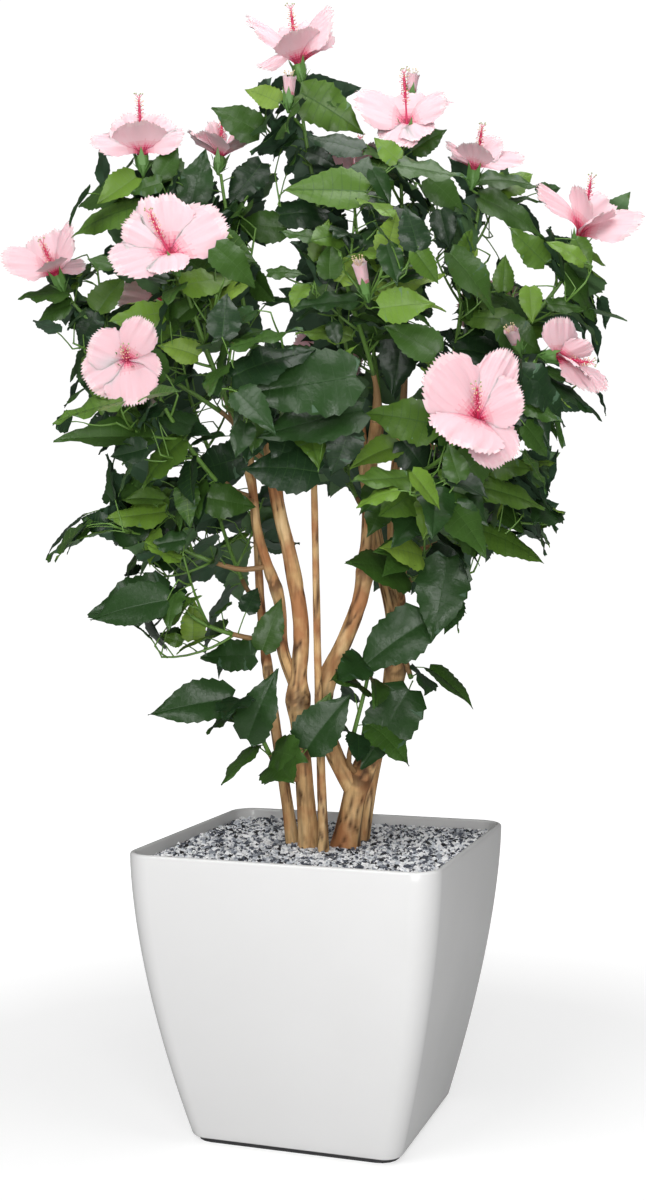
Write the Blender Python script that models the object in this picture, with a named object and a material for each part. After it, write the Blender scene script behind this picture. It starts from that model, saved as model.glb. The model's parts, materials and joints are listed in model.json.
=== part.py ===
"""Hibiscus shrub with pale pink blooms: an artificial plant on real wooden stems,
standing in a square white planter that is filled with gravel.

Metres, +Z up. The origin is the middle of the planter's flat underside, and the
planter's front faces -Y. The plant stands turned in its planter, so its own places
are given as (across, deep, up): across to its right, deep to its back.
"""
import math
import random
from collections import namedtuple

import bmesh
import bpy
import numpy as np
from mathutils import Matrix, Vector
from mathutils.bvhtree import BVHTree

# ---------------------------------------------------------------- driving sizes
GAP = 0.0003                     # clearance between pieces that touch
PLANT_TURN = math.radians(18.4)  # how far the plant is turned in the planter

POT_WIDTH = 0.430                # over the rim
POT_HEIGHT = 0.400
POT_BASE_WIDTH = 0.293           # across the underside
POT_BELLY = 1.6                  # 1 is a straight taper, more is a fuller belly
POT_CORNER_TOP = 0.038           # corner radius at the rim
POT_CORNER_BASE = 0.025
POT_WALL = 0.008
POT_FLOOR = 0.012
POT_LEVELS = 7                   # rings up the side
POT_EDGE = 0.003                 # rounding of the bottom edge
LIP_STEPS = 4                    # facets over the rim
INNER_STEPS = 5                  # rings up the inside
CORNER_STEPS = 4                 # facets round each corner
FOOT_HEIGHT = 0.006              # dark plate that the planter stands on
FOOT_INSET = 0.005
GRAVEL_TOP = 0.385               # level of the gravel, just below the rim
HEAP_CELLS = 7                   # its low heaps lie on a grid of this many cells
HEAP_MARGIN = 0.015              # from the planter's wall to the grid's edge
HEAP_RISE = (0.0012, 0.0040)
HEAP_DIP = 0.0030                # how far the slab of heaps lies under the level at its edge
HEAP_DEEP = 0.0080
HEAP_CLEAR = 0.105               # the gravel is level this far round the stems

STEM_SIDES = 8
STEM_RING_STEP = 0.040           # distance between rings along a limb
FLARE_SWELL = 0.35               # root flare: how much thicker at the gravel
FLARE_HEIGHT = 0.030
FLARE_RING = 0.35                # extra ring at the foot, as part of the first piece
SADDLE_GAP = 1.1 * GAP           # from a bough's foot to the limb it forks from
KNOT_LENGTH = 0.022

TWIG_SIDES = 3
SHOOT_THICK = 0.0050             # radius of a mass's main shoot where it starts
MAIN_PIECES = 6                  # straight pieces that a main shoot is made of
SIDE_PIECES = 2
SIDE_FIRST = 0.30                # parts of a main shoot between which side shoots grow
SIDE_LAST = 0.85
SIDE_LONG = (0.10, 0.15)         # length of a side shoot
SIDE_SHORTEST = 0.05
SIDE_CUT = 0.8                   # how much shorter it gets where it would leave its space
SIDE_WAY = (0.55, 0.90, 0.25)    # its way: along the main shoot, sideways, out of the crown
SIDE_RISE = 0.35                 # how far it bends up
SHOOT_NECK = 0.006               # straight start of a main shoot at its limb
SEAT_REACH = 0.1                 # farther out of a limb's middle than its surface lies
SHOOT_THIN = 0.0032              # radius at its end, and of the side shoots
SHOOT_PULL = 0.55                # how strongly a main shoot keeps to its first way
SHOOT_RISE = 0.5                 # how far its end bends up
STALK_THICK = 0.0013             # radius of a leaf stalk at its blade, and at its root
STALK_ROOT = 0.0008
STALK_LONG = 0.042
STALK_SHORT = 0.020
STALK_WAY = (0.45, 0.90, 0.10)   # its way: along the shoot, sideways, out of the crown

LEAF_LONG = 0.148                # blade of the largest leaf
LEAF_SHORT = 0.100
LEAF_WIDE = 0.76                 # width of a blade to its length
LEAF_RIDGE = 0.0026              # depth of the midrib at the foot of the blade
LEAF_FOLD = 0.22                 # how far the halves rise from the midrib
LEAF_CURL = 0.10                 # how far the tip bends back
LEAF_ALONG = 0.8                 # how far a blade keeps to its stalk's way, and hangs from it
LEAF_DROOP = (0.0, 0.8)
LEAF_LIFT = 0.5                  # how far its upper side faces up, and strays
LEAF_SCATTER = 0.4
LEAF_TURN = 0.65                 # how far a blade turns its upper side out of the crown
LEAF_GAP = 0.027                 # distance between leaves along a shoot
LEAF_TRIES = 48                  # tries to place a leaf, each a little smaller
LEAF_SHRINK = 0.50
LEAF_SWING = 0.12                # and turned this much more round its shoot
LONE_FACE = (-0.10, -0.88, 0.46)  # way that a lone leaf's upper side faces
MAIN_BARE = 0.25                 # part of a main shoot with no leaves, and of a side shoot
SIDE_BARE = 0.40
SPACE_FROM = 2                   # points of a main shoot that claim no space
LEAF_CLEAR = 0.0012              # least distance from a leaf to the next mass
GOLDEN = math.radians(137.5)

PETALS = 5
THROAT_DEPTH = 0.42              # depth of the funnel to the bloom's radius
THROAT_WIDE = 0.11
PETAL_NOTCH = 0.58               # radius where two petals part
PETAL_SPREAD = math.radians(22)  # half-angle between a petal's two shoulders
PETAL_THICK = 0.0022
BLOOM_BACK = 0.35                # leaves stay this far behind a bloom's middle
PETAL_TILT = 0.06                # each petal's one shoulder lies over the next petal
PETAL_DIP = 0.15                 # how far the notches lie below the petals' ends
COLUMN_LONG = 0.95               # stamen column to the bloom's radius
COLUMN = [0.0028, 0.0020]        # its radius at its foot and its tip
COLUMN_SUNK = 0.003
BLOOM_STALK = [0.0014, 0.0018, 0.0018, 0.0022]
CALYX = [0.0090, 0.0100]         # radius at its middle and its rim
CALYX_LONG = 0.026
CALYX_SUNK = 0.0012
BUD_STALK = [0.0014, 0.0018, 0.0018, 0.0030]
# A bud as (part of its length, radius), from inside its stalk to its tip.
BUD_PROFILE = [(-0.09, 0.0020), (0.2, 0.0085), (0.65, 0.0095), (1.0, 0.0030)]

WELD = 0.00006                   # corners of a joined solid closer than this become one
FINE_WELD = 0.00001
# Ways to join a mass, until one is sound: solver and weld.
UNION_TRIES = [("EXACT", WELD), ("MANIFOLD", WELD), ("MANIFOLD", FINE_WELD),
               ("EXACT", FINE_WELD)]
SEED = 41
UP = Vector((0, 0, 1))

# A limb: name, the limb it forks from, radius at its foot and its tip, way points
# (across, deep, up) and knots as (part of the length, swell).
Limb = namedtuple("Limb", "name parent thick thin way knots")
LIMBS = [
    Limb("stem_left", None, 0.0135, 0.0085,
         [(-0.022, -0.005, GRAVEL_TOP), (-0.030, -0.010, 0.490), (-0.038, -0.010, 0.595),
          (-0.034, -0.010, 0.695), (-0.048, -0.012, 0.790), (-0.066, -0.020, 0.870),
          (-0.085, -0.020, 1.000)],
         [(0.34, 0.55), (0.62, 0.12)]),
    Limb("stem_thin_left", None, 0.0085, 0.0050,
         [(-0.046, 0.028, GRAVEL_TOP), (-0.061, 0.030, 0.485), (-0.078, 0.035, 0.600),
          (-0.092, 0.045, 0.720), (-0.100, 0.060, 0.850), (-0.110, 0.080, 0.950)],
         [(0.45, 0.20)]),
    Limb("stem_straight", None, 0.0066, 0.0042,
         [(-0.002, -0.038, GRAVEL_TOP), (-0.010, -0.040, 0.640), (-0.015, -0.045, 0.880),
          (-0.018, -0.050, 0.965)],
         []),
    Limb("stem_right", None, 0.0170, 0.0075,
         [(0.029, 0.000, GRAVEL_TOP), (0.045, 0.000, 0.470), (0.068, 0.000, 0.525),
          (0.088, 0.000, 0.585), (0.100, 0.000, 0.645), (0.097, 0.020, 0.715),
          (0.078, 0.038, 0.795), (0.060, 0.070, 0.905), (0.051, 0.090, 0.990)],
         [(0.16, 0.18), (0.42, 0.25)]),
    Limb("stem_back", None, 0.0105, 0.0060,
         [(0.050, 0.046, GRAVEL_TOP), (0.072, 0.052, 0.500), (0.100, 0.060, 0.620),
          (0.108, 0.062, 0.720), (0.098, 0.058, 0.810), (0.098, 0.050, 0.890),
          (0.112, 0.042, 1.015)],
         [(0.55, 0.20)]),
    Limb("bough_centre", "stem_right", 0.0135, 0.0085,
         [(0.043, 0.000, 0.460), (0.012, -0.010, 0.520), (-0.002, -0.015, 0.573),
          (0.003, -0.020, 0.625), (0.029, -0.020, 0.682), (0.050, -0.020, 0.740),
          (0.059, -0.020, 0.810), (0.062, -0.022, 0.900), (0.072, -0.030, 0.990)],
         [(0.30, 0.15), (0.62, 0.22)]),
    Limb("bough_left", "stem_left", 0.0095, 0.0055,
         [(-0.040, -0.008, 0.610), (-0.060, 0.000, 0.665), (-0.064, 0.002, 0.730),
          (-0.082, 0.000, 0.785), (-0.096, -0.004, 0.835), (-0.102, -0.010, 0.890),
          (-0.118, -0.030, 0.955)],
         [(0.42, 0.25)]),
    Limb("bough_right", "stem_back", 0.0062, 0.0040,
         [(0.108, 0.062, 0.730), (0.118, 0.066, 0.830), (0.128, 0.062, 0.905),
          (0.160, 0.045, 0.975), (0.205, 0.030, 1.035)],
         []),
]

# A bloom or bud: where it sits on its mass's main shoot, the place of its middle,
# the way it faces, its width over the petals (a bud's length) and how far the
# petals' ends rise, to the bloom's radius.
Bloom = namedtuple("Bloom", "kind along middle facing size cup")

# A leaf that stands alone: where it sits on its main shoot, its blade's foot and tip.
Leaf = namedtuple("Leaf", "along base tip")

# A mass of foliage: name, its limb, how far along it, the end of its main shoot,
# its side shoots, its leaves, how far they reach from the shoots, its blooms and
# the leaves that stand alone.
Mass = namedtuple("Mass", "name limb along end shoots leaves reach blooms lone")
MASSES = [
    Mass("foliage_top", "stem_right", 1.0, (-0.036, 0.000, 1.440), 5, 20, 0.165,
         [Bloom("bloom", 1.0, (-0.038, 0.000, 1.508), (-0.25, -0.18, 0.95), 0.135, 0.45),
          Bloom("bud", 0.88, (-0.050, -0.035, 1.438), (0.02, -0.10, 1.0), 0.045, 0)], []),
    Mass("foliage_top_right", "stem_back", 1.0, (0.106, 0.005, 1.362), 5, 18, 0.165,
         [Bloom("bloom", 1.0, (0.110, -0.025, 1.405), (0.02, -0.50, 0.86), 0.135, 0.20),
          Bloom("bud", 0.90, (0.124, 0.055, 1.470), (0.10, 0.00, 1.0), 0.045, 0)], []),
    Mass("foliage_top_left", "stem_left", 1.0, (-0.150, 0.060, 1.345), 5, 18, 0.165,
         [Bloom("bloom", 1.0, (-0.160, 0.085, 1.395), (0.25, 0.45, 0.90), 0.115, 0.10)], []),
    Mass("foliage_left_upper", "bough_left", 1.0, (-0.250, -0.045, 1.315), 5, 18, 0.160,
         [Bloom("bloom", 1.0, (-0.258, -0.055, 1.372), (-0.08, -0.25, 0.97), 0.130, 0.10)], []),
    Mass("foliage_left_front", "stem_left", 0.88, (-0.186, -0.175, 1.160), 5, 15, 0.150,
         [Bloom("bloom", 1.0, (-0.200, -0.205, 1.210), (-0.25, -0.60, 0.76), 0.145, 0.15)], []),
    Mass("foliage_far_left", "stem_thin_left", 1.0, (-0.362, 0.010, 1.160), 4, 17, 0.150,
         [Bloom("bloom", 1.0, (-0.390, 0.000, 1.212), (-0.35, -0.25, 0.90), 0.122, 0.10)], []),
    Mass("foliage_left_lower", "bough_left", 0.76, (-0.225, -0.180, 1.020), 4, 16, 0.150,
         [Bloom("bloom", 1.0, (-0.252, -0.225, 1.055), (-0.05, -0.95, 0.30), 0.125, 0.10)], []),
    Mass("foliage_low_left", "bough_left", 0.50, (-0.265, -0.020, 0.850), 4, 13, 0.150, [], []),
    Mass("foliage_front_upper", "bough_centre", 1.0, (0.016, -0.215, 1.190), 4, 16, 0.150,
         [Bloom("bud", 0.85, (0.046, -0.235, 1.145), (-0.25, -0.45, 0.90), 0.050, 0)], []),
    Mass("foliage_front_centre", "stem_straight", 1.0, (-0.060, -0.245, 1.040), 4, 16, 0.150,
         [], []),
    Mass("foliage_right_upper", "stem_back", 0.93, (0.222, 0.030, 1.310), 5, 16, 0.160,
         [Bloom("bloom", 1.0, (0.226, 0.020, 1.365), (0.12, -0.18, 0.97), 0.115, 0.10)], []),
    Mass("foliage_far_right", "bough_right", 1.0, (0.352, -0.010, 1.215), 4, 17, 0.150,
         [Bloom("bloom", 1.0, (0.376, -0.020, 1.262), (0.30, -0.28, 0.90), 0.138, 0.15)], []),
    Mass("foliage_right_side", "bough_right", 0.70, (0.285, -0.080, 1.060), 5, 15, 0.150,
         [Bloom("bloom", 1.0, (0.322, -0.105, 1.070), (0.72, -0.62, 0.25), 0.122, 0.25),
          Bloom("bud", 0.85, (0.252, -0.110, 1.085), (-0.40, -0.55, 0.75), 0.040, 0)], []),
    Mass("foliage_right_lower", "bough_centre", 0.84, (0.162, -0.245, 0.935), 4, 15, 0.150,
         [Bloom("bloom", 1.0, (0.183, -0.300, 0.962), (-0.12, -0.93, 0.32), 0.150, 0.10)], []),
    Mass("foliage_low_right", "stem_back", 0.66, (0.262, -0.020, 0.880), 4, 13, 0.150, [], []),
    Mass("foliage_low_front", "stem_right", 0.60, (0.150, -0.110, 0.790), 2, 7, 0.130, [],
         [Leaf(0.90, (0.162, -0.130, 0.793), (0.142, -0.150, 0.682)),
          Leaf(0.80, (0.134, -0.110, 0.707), (0.032, -0.120, 0.651))]),
    Mass("foliage_back_top", "stem_right", 0.92, (0.045, 0.205, 1.335), 4, 16, 0.160,
         [Bloom("bloom", 1.0, (0.050, 0.235, 1.390), (0.10, 0.45, 0.90), 0.130, 0.10)], []),
    Mass("foliage_back_left", "stem_thin_left", 0.88, (-0.245, 0.235, 1.165), 4, 16, 0.160,
         [Bloom("bloom", 1.0, (-0.265, 0.275, 1.205), (-0.45, 0.70, 0.55), 0.135, 0.10)], []),
    Mass("foliage_back_right", "stem_back", 0.84, (0.245, 0.245, 1.145), 4, 16, 0.160,
         [Bloom("bloom", 1.0, (0.270, 0.285, 1.180), (0.50, 0.70, 0.50), 0.135, 0.10)], []),
    Mass("foliage_back_centre", "stem_right", 0.80, (-0.005, 0.300, 1.075), 4, 15, 0.160,
         [Bloom("bloom", 1.0, (0.000, 0.345, 1.110), (0.00, 0.90, 0.42), 0.130, 0.10)], []),
    Mass("foliage_back_low_left", "stem_thin_left", 0.62, (-0.175, 0.225, 0.900), 3, 13, 0.150,
         [], []),
    Mass("foliage_back_low_right", "stem_back", 0.74, (0.175, 0.250, 0.890), 3, 13, 0.150,
         [], []),
    Mass("spray_left", "bough_left", 0.20, (-0.193, -0.050, 0.719), 2, 6, 0.130, [],
         [Leaf(0.93, (-0.215, -0.060, 0.746), (-0.324, -0.080, 0.720))]),
    Mass("spray_left_low", "stem_left", 0.16, (-0.110, -0.070, 0.608), 0, 1, 0.130, [],
         [Leaf(0.90, (-0.127, -0.080, 0.601), (-0.239, -0.100, 0.593)),
          Leaf(0.35, (-0.106, -0.085, 0.547), (-0.070, -0.110, 0.640)),
          Leaf(0.10, (-0.025, -0.070, 0.532), (0.027, -0.075, 0.613))]),
    Mass("spray_centre", "stem_right", 0.17, (0.062, -0.060, 0.650), 0, 3, 0.130, [], []),
    Mass("spray_right", "stem_right", 0.43, (0.122, -0.045, 0.622), 0, 0, 0.130, [],
         [Leaf(0.95, (0.115, -0.060, 0.612), (0.049, -0.080, 0.506))]),
]


# ---------------------------------------------------------------- scene helpers
def clear_scene():
    for old in list(bpy.data.objects):
        bpy.data.objects.remove(old, do_unlink=True)


def material(name, colour, roughness, metallic=0.0):
    mat = bpy.data.materials.new(name)
    mat.use_nodes = True
    shader = mat.node_tree.nodes["Principled BSDF"]
    shader.inputs["Base Color"].default_value = (*colour, 1.0)
    shader.inputs["Roughness"].default_value = roughness
    shader.inputs["Metallic"].default_value = metallic
    mat.diffuse_color = (*colour, 1.0)
    return mat


def add_object(name, bm, mats, collection, part_index=0):
    """Makes an object of the mesh. part_index picks its faces' material."""
    mesh = bpy.data.meshes.new(name)
    bmesh.ops.recalc_face_normals(bm, faces=bm.faces[:])
    for face in bm.faces:
        face.material_index = part_index
    bm.to_mesh(mesh)
    bm.free()
    for mat in mats:
        mesh.materials.append(mat)
    obj = bpy.data.objects.new(name, mesh)
    collection.objects.link(obj)
    return obj


def plant_place(place):
    """World place of a point given as (across, deep, up)."""
    return Matrix.Rotation(PLANT_TURN, 3, "Z") @ Vector(place)


# ---------------------------------------------------------------- lofts
def skin_rings(bm, rings, cap_start=True, cap_end=True):
    """Joins rings of equal count with faces and closes the ends."""
    loops = [[bm.verts.new(point) for point in ring] for ring in rings]
    count = len(loops[0])
    for low, high in zip(loops, loops[1:]):
        for i in range(count):
            j = (i + 1) % count
            bm.faces.new((low[i], low[j], high[j], high[i]))
    if cap_start:
        bm.faces.new(reversed(loops[0]))
    if cap_end:
        bm.faces.new(loops[-1])
    return loops


def path_frames(path, first_tangent=None):
    """A tangent, side and rise at each point, turned as little as possible."""
    tangents = []
    for i in range(len(path)):
        before, after = path[max(i - 1, 0)], path[min(i + 1, len(path) - 1)]
        tangents.append((after - before).normalized())
    if first_tangent is not None:
        tangents[0] = Vector(first_tangent).normalized()
    side = tangents[0].orthogonal().normalized()
    frames = []
    for i, tangent in enumerate(tangents):
        if i:
            side = tangents[i - 1].rotation_difference(tangent) @ side
        side = (side - tangent * side.dot(tangent)).normalized()
        frames.append((tangent, side, tangent.cross(side)))
    return frames


def tube(path, radii, sides, first_tangent=None):
    """A closed tapering tube along a path."""
    bm = bmesh.new()
    rings = []
    for point, radius, (_, side, rise) in zip(path, radii, path_frames(path, first_tangent)):
        ring = []
        for k in range(sides):
            angle = 2 * math.pi * k / sides
            ring.append(point + radius * (math.cos(angle) * side + math.sin(angle) * rise))
        rings.append(ring)
    skin_rings(bm, rings)
    return bm


def smooth_path(points, step):
    """A Catmull-Rom curve through the points, cut into pieces of about one step."""
    points = [Vector(point) for point in points]
    padded = [2 * points[0] - points[1]] + points + [2 * points[-1] - points[-2]]
    path = [points[0]]
    for i in range(1, len(padded) - 2):
        p0, p1, p2, p3 = padded[i - 1:i + 3]
        pieces = max(1, round((p2 - p1).length / step))
        for k in range(1, pieces + 1):
            t = k / pieces
            path.append(0.5 * (2 * p1 + (p2 - p0) * t
                               + (2 * p0 - 5 * p1 + 4 * p2 - p3) * t ** 2
                               + (3 * p1 - p0 - 3 * p2 + p3) * t ** 3))
    return path


def bent_path(start, start_way, end, end_way, pieces, pull=1.0):
    """A Hermite curve from start to end that leaves and arrives along the two ways."""
    span = (end - start).length
    a, b = start_way.normalized() * span * pull, end_way.normalized() * span
    path = []
    for k in range(pieces + 1):
        t = k / pieces
        path.append((2 * t ** 3 - 3 * t ** 2 + 1) * start + (t ** 3 - 2 * t ** 2 + t) * a
                    + (3 * t ** 2 - 2 * t ** 3) * end + (t ** 3 - t ** 2) * b)
    return path


def along_path(path, part):
    """Point and tangent at a part of a path's length."""
    lengths = [(b - a).length for a, b in zip(path, path[1:])]
    left = part * sum(lengths)
    for i, length in enumerate(lengths):
        if left <= length or i == len(lengths) - 1:
            way = path[i + 1] - path[i]
            return path[i] + way * min(left / length, 1.0), way.normalized()
        left -= length


# ---------------------------------------------------------------- planter
def pot_half_width(height):
    rise = height / POT_HEIGHT
    return (POT_BASE_WIDTH + (POT_WIDTH - POT_BASE_WIDTH) * (1 - (1 - rise) ** POT_BELLY)) / 2


def pot_corner(height):
    return POT_CORNER_BASE + (POT_CORNER_TOP - POT_CORNER_BASE) * height / POT_HEIGHT


def square_ring(half, corner, height):
    """A square with round corners, at a height."""
    ring = []
    for quarter in range(4):
        for k in range(CORNER_STEPS + 1):
            angle = math.pi / 2 * (quarter + k / CORNER_STEPS)
            middle = Matrix.Rotation(quarter * math.pi / 2, 2) @ Vector((half - corner,) * 2)
            ring.append(Vector((middle.x + corner * math.cos(angle),
                                middle.y + corner * math.sin(angle), height)))
    return ring


def pot_ring(height, inset):
    return square_ring(pot_half_width(height) - inset, pot_corner(height) - inset, height)


def make_pot(mats, collection):
    bottom = FOOT_HEIGHT + GAP
    lip = POT_WALL / 2
    first, last = bottom + POT_EDGE, POT_HEIGHT - lip
    rings = [pot_ring(bottom, POT_EDGE)]
    rings += [pot_ring(first + (last - first) * k / POT_LEVELS, 0.0) for k in range(POT_LEVELS + 1)]
    for k in range(1, LIP_STEPS + 1):
        turn = math.pi * k / LIP_STEPS
        ring = pot_ring(POT_HEIGHT - lip, lip * (1 - math.cos(turn)))
        rings.append([point + Vector((0, 0, lip * math.sin(turn))) for point in ring])
    rings += [pot_ring(level, POT_WALL) for level in reversed(inner_levels())]
    bm = bmesh.new()
    skin_rings(bm, rings)
    return add_object("pot", bm, [mats["glaze"]], collection)


def inner_levels():
    """Heights of the rings that the planter's inside and its filling share."""
    top, floor = GRAVEL_TOP, POT_FLOOR + FOOT_HEIGHT
    return [floor + (top - floor) * k / INNER_STEPS for k in range(INNER_STEPS + 1)]


def make_foot(mats, collection):
    half = POT_BASE_WIDTH / 2 - FOOT_INSET
    bm = bmesh.new()
    skin_rings(bm, [square_ring(half, POT_CORNER_BASE, 0.0),
                    square_ring(half, POT_CORNER_BASE, FOOT_HEIGHT)])
    return add_object("pot_foot", bm, [mats["foot"]], collection)


def heap_slab():
    """Low heaps as one uneven slab, under the gravel's level at its edge and round the
    stems."""
    rng = random.Random(SEED)
    half = pot_half_width(GRAVEL_TOP) - POT_WALL - HEAP_MARGIN
    bm = bmesh.new()
    bmesh.ops.create_grid(bm, x_segments=HEAP_CELLS, y_segments=HEAP_CELLS, size=half)
    for vert in bm.verts:
        vert.co.z = rng.uniform(*HEAP_RISE)
        if vert.is_boundary or vert.co.xy.length < HEAP_CLEAR:
            vert.co.z = -HEAP_DIP
    under = bmesh.ops.extrude_face_region(bm, geom=bm.faces[:])["geom"]
    for item in under:
        if isinstance(item, bmesh.types.BMVert):
            item.co.z = -HEAP_DEEP
    bmesh.ops.recalc_face_normals(bm, faces=bm.faces[:])
    bmesh.ops.triangulate(bm, faces=bm.faces[:])
    bmesh.ops.translate(bm, verts=bm.verts[:], vec=GRAVEL_TOP * UP)
    return bm


def make_gravel(mats, collection, cutters):
    levels = inner_levels()
    levels[0] += GAP
    bm = bmesh.new()
    skin_rings(bm, [pot_ring(level, POT_WALL + GAP) for level in levels])
    gravel = add_object("gravel", bm, [mats["gravel"]], collection)
    slab = add_object("gravel_heaps", heap_slab(), [mats["gravel"]], cutters)
    union = gravel.modifiers.new("heaps", "BOOLEAN")
    union.operation = "UNION"
    union.object = slab
    union.solver = "EXACT"
    apply_modifiers(gravel)
    bpy.data.objects.remove(slab)
    tidy_solid(gravel.data, WELD)


# ---------------------------------------------------------------- stems and boughs
def limb_shape(limb):
    """Path and radii of a limb, with its taper, root flare and knots."""
    way = [plant_place(point) for point in limb.way]
    path = smooth_path(way, STEM_RING_STEP)
    if limb.parent is None:
        path[0].z += GAP
        foot = path[0].lerp(path[1], FLARE_RING)
        path.insert(1, foot)
    lengths = [0.0]
    for a, b in zip(path, path[1:]):
        lengths.append(lengths[-1] + (b - a).length)
    radii = []
    for length in lengths:
        part = length / lengths[-1]
        radius = limb.thick + (limb.thin - limb.thick) * part
        for place, swell in limb.knots:
            off = (part - place) * lengths[-1] / KNOT_LENGTH
            radius *= 1 + swell * math.exp(-off ** 2)
        if limb.parent is None:
            radius *= 1 + FLARE_SWELL * math.exp(-length / FLARE_HEIGHT)
        radii.append(radius)
    return path, radii


def evaluated_mesh(obj):
    graph = bpy.context.evaluated_depsgraph_get()
    return bpy.data.meshes.new_from_object(obj.evaluated_get(graph))


def apply_modifiers(obj):
    new_mesh = evaluated_mesh(obj)
    old_mesh = obj.data
    obj.modifiers.clear()
    obj.data = new_mesh
    bpy.data.meshes.remove(old_mesh)


def make_limbs(mats, collection, cutters):
    """All stems and boughs. A bough's foot is cut to lie round the limb it forks from."""
    shapes, objects = {}, {}
    for limb in LIMBS:
        path, radii = limb_shape(limb)
        upright = None if limb.parent else (0, 0, 1)
        bm = tube(path, radii, STEM_SIDES, upright)
        obj = add_object(limb.name, bm, [mats["wood"]], collection)
        if limb.parent:
            around = [radius + SADDLE_GAP for radius in shapes[limb.parent][1]]
            cut = tube(shapes[limb.parent][0], around, STEM_SIDES, (0, 0, 1))
            cutter = add_object(limb.name + "_saddle", cut, [], cutters)
            cutter.hide_render = True
            cutter.display_type = "WIRE"
            saddle = obj.modifiers.new("saddle", "BOOLEAN")
            saddle.operation = "DIFFERENCE"
            saddle.object = cutter
            apply_modifiers(obj)
            bpy.data.objects.remove(cutter)
        shapes[limb.name] = (path, radii)
        objects[limb.name] = obj
    return shapes, objects


# ---------------------------------------------------------------- space of each mass
class Space:
    """Shares the crown out: a point belongs to the mass whose main shoot is nearest,
    its bare start left out. The ball round a bloom belongs to the bloom's mass, which
    keeps its leaves out of the half before the petals."""

    def __init__(self, shoots):
        self.names = list(shoots)
        starts, ends, owners = [], [], []
        for index, name in enumerate(self.names):
            path = shoots[name][SPACE_FROM:]
            for a, b in zip(path, path[1:]):
                starts.append(a)
                ends.append(b)
                owners.append(index)
        self.starts = np.array(starts)
        self.ways = np.array(ends) - self.starts
        self.square = (self.ways ** 2).sum(axis=1)
        self.owners = np.array(owners)
        self.balls = [(mass.name, np.array(plant_place(bloom.middle)),
                       np.array(plant_place(bloom.facing).normalized()), bloom.size / 2)
                      for mass in MASSES for bloom in mass.blooms]

    def holds(self, name, points, reach):
        """True if every point is in the mass's own space and within its reach."""
        points = np.array(points)
        offset = points[:, None, :] - self.starts[None]
        part = np.clip((offset * self.ways).sum(axis=2) / self.square, 0, 1)
        away = np.linalg.norm(offset - part[..., None] * self.ways, axis=2)
        own = away[:, self.owners == self.names.index(name)].min(axis=1)
        other = away[:, self.owners != self.names.index(name)].min(axis=1)
        inside = (own + 2 * LEAF_CLEAR < other) & (own < reach)
        for owner, middle, facing, radius in self.balls:
            near = np.linalg.norm(points - middle, axis=1) < radius + LEAF_CLEAR
            behind = (points - middle) @ facing < -BLOOM_BACK * radius
            if owner == name:
                inside |= near & behind
                near &= ~behind
            inside &= ~near
        return bool(inside.all()) and bool((points[:, 2] > POT_HEIGHT + 0.01).all())


class Solids:
    """What already stands in the crown, to keep new leaves and shoots off it."""

    def __init__(self):
        self.items = []

    def add(self, tree, points, mass=None, shoot=None):
        low = [min(point[i] for point in points) for i in range(3)]
        high = [max(point[i] for point in points) for i in range(3)]
        self.items.append((tree, low, high, (mass, shoot)))

    def touches(self, tree, points, mass, shoot):
        """True if a leaf meets anything but the shoot of the mass that carries it."""
        low = [min(point[i] for point in points) for i in range(3)]
        high = [max(point[i] for point in points) for i in range(3)]
        for other, olow, ohigh, owner in self.items:
            if owner == (mass, shoot):
                continue
            if all(olow[i] < high[i] and ohigh[i] > low[i] for i in range(3)):
                if other.overlap(tree):
                    return True
        return False


def tree_of(bm, grow=0.0):
    """A search tree of a mesh, and its points. grow swells it a little."""
    verts = [vert.co.copy() for vert in bm.verts]
    if grow:
        bm.normal_update()
        verts = [vert.co + vert.normal * grow for vert in bm.verts]
    bm.verts.index_update()
    faces = [[vert.index for vert in face.verts] for face in bm.faces]
    return BVHTree.FromPolygons(verts, faces), verts


# ---------------------------------------------------------------- leaves and blooms
def leaf_frame(way, face):
    """Unit directions along a blade, out of its upper side and across it."""
    way = way.normalized()
    face = face - way * face.dot(way)
    if face.length < 0.05:
        face = way.orthogonal()
    face = face.normalized()
    return way, face, way.cross(face)


def leaf_shape(root, base, way, face, length):
    """A leaf as one closed mesh: a three-sided stalk that runs into a folded blade."""
    way, face, across = leaf_frame(way, face)
    half = length * LEAF_WIDE / 2
    bm = bmesh.new()

    def blade(part, wide, lift):
        return bm.verts.new(base + way * length * part + across * half * wide + face * lift)

    stalk_way = (base - root).normalized()
    stalk_side = (across - stalk_way * across.dot(stalk_way)).normalized()
    stalk_face = stalk_side.cross(stalk_way)
    foot = [bm.verts.new(root + STALK_ROOT * offset)
            for offset in (stalk_side, -stalk_face, -stalk_side)]
    mitre = across.cross(stalk_way + way).normalized()
    neck = [bm.verts.new(base + offset) for offset in
            (STALK_THICK * across, -LEAF_RIDGE * mitre, -STALK_THICK * across)]
    fold = LEAF_FOLD * half
    tip = blade(1.0, 0.0, -LEAF_CURL * length)
    bm.faces.new(foot)
    for i in range(3):
        j = (i + 1) % 3
        bm.faces.new((foot[i], foot[j], neck[j], neck[i]))
    bm.faces.new((neck[0], neck[2], tip))
    for corner, hand in ((neck[0], 1), (neck[2], -1)):
        rim = [corner, blade(0.28, hand, fold), blade(0.68, 0.68 * hand, 0.7 * fold), tip]
        for a, b in zip(rim[1:], rim[2:]):
            bm.faces.new((corner, a, b))
        for a, b in zip(rim, rim[1:]):
            bm.faces.new((neck[1], a, b))
    return bm


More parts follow.
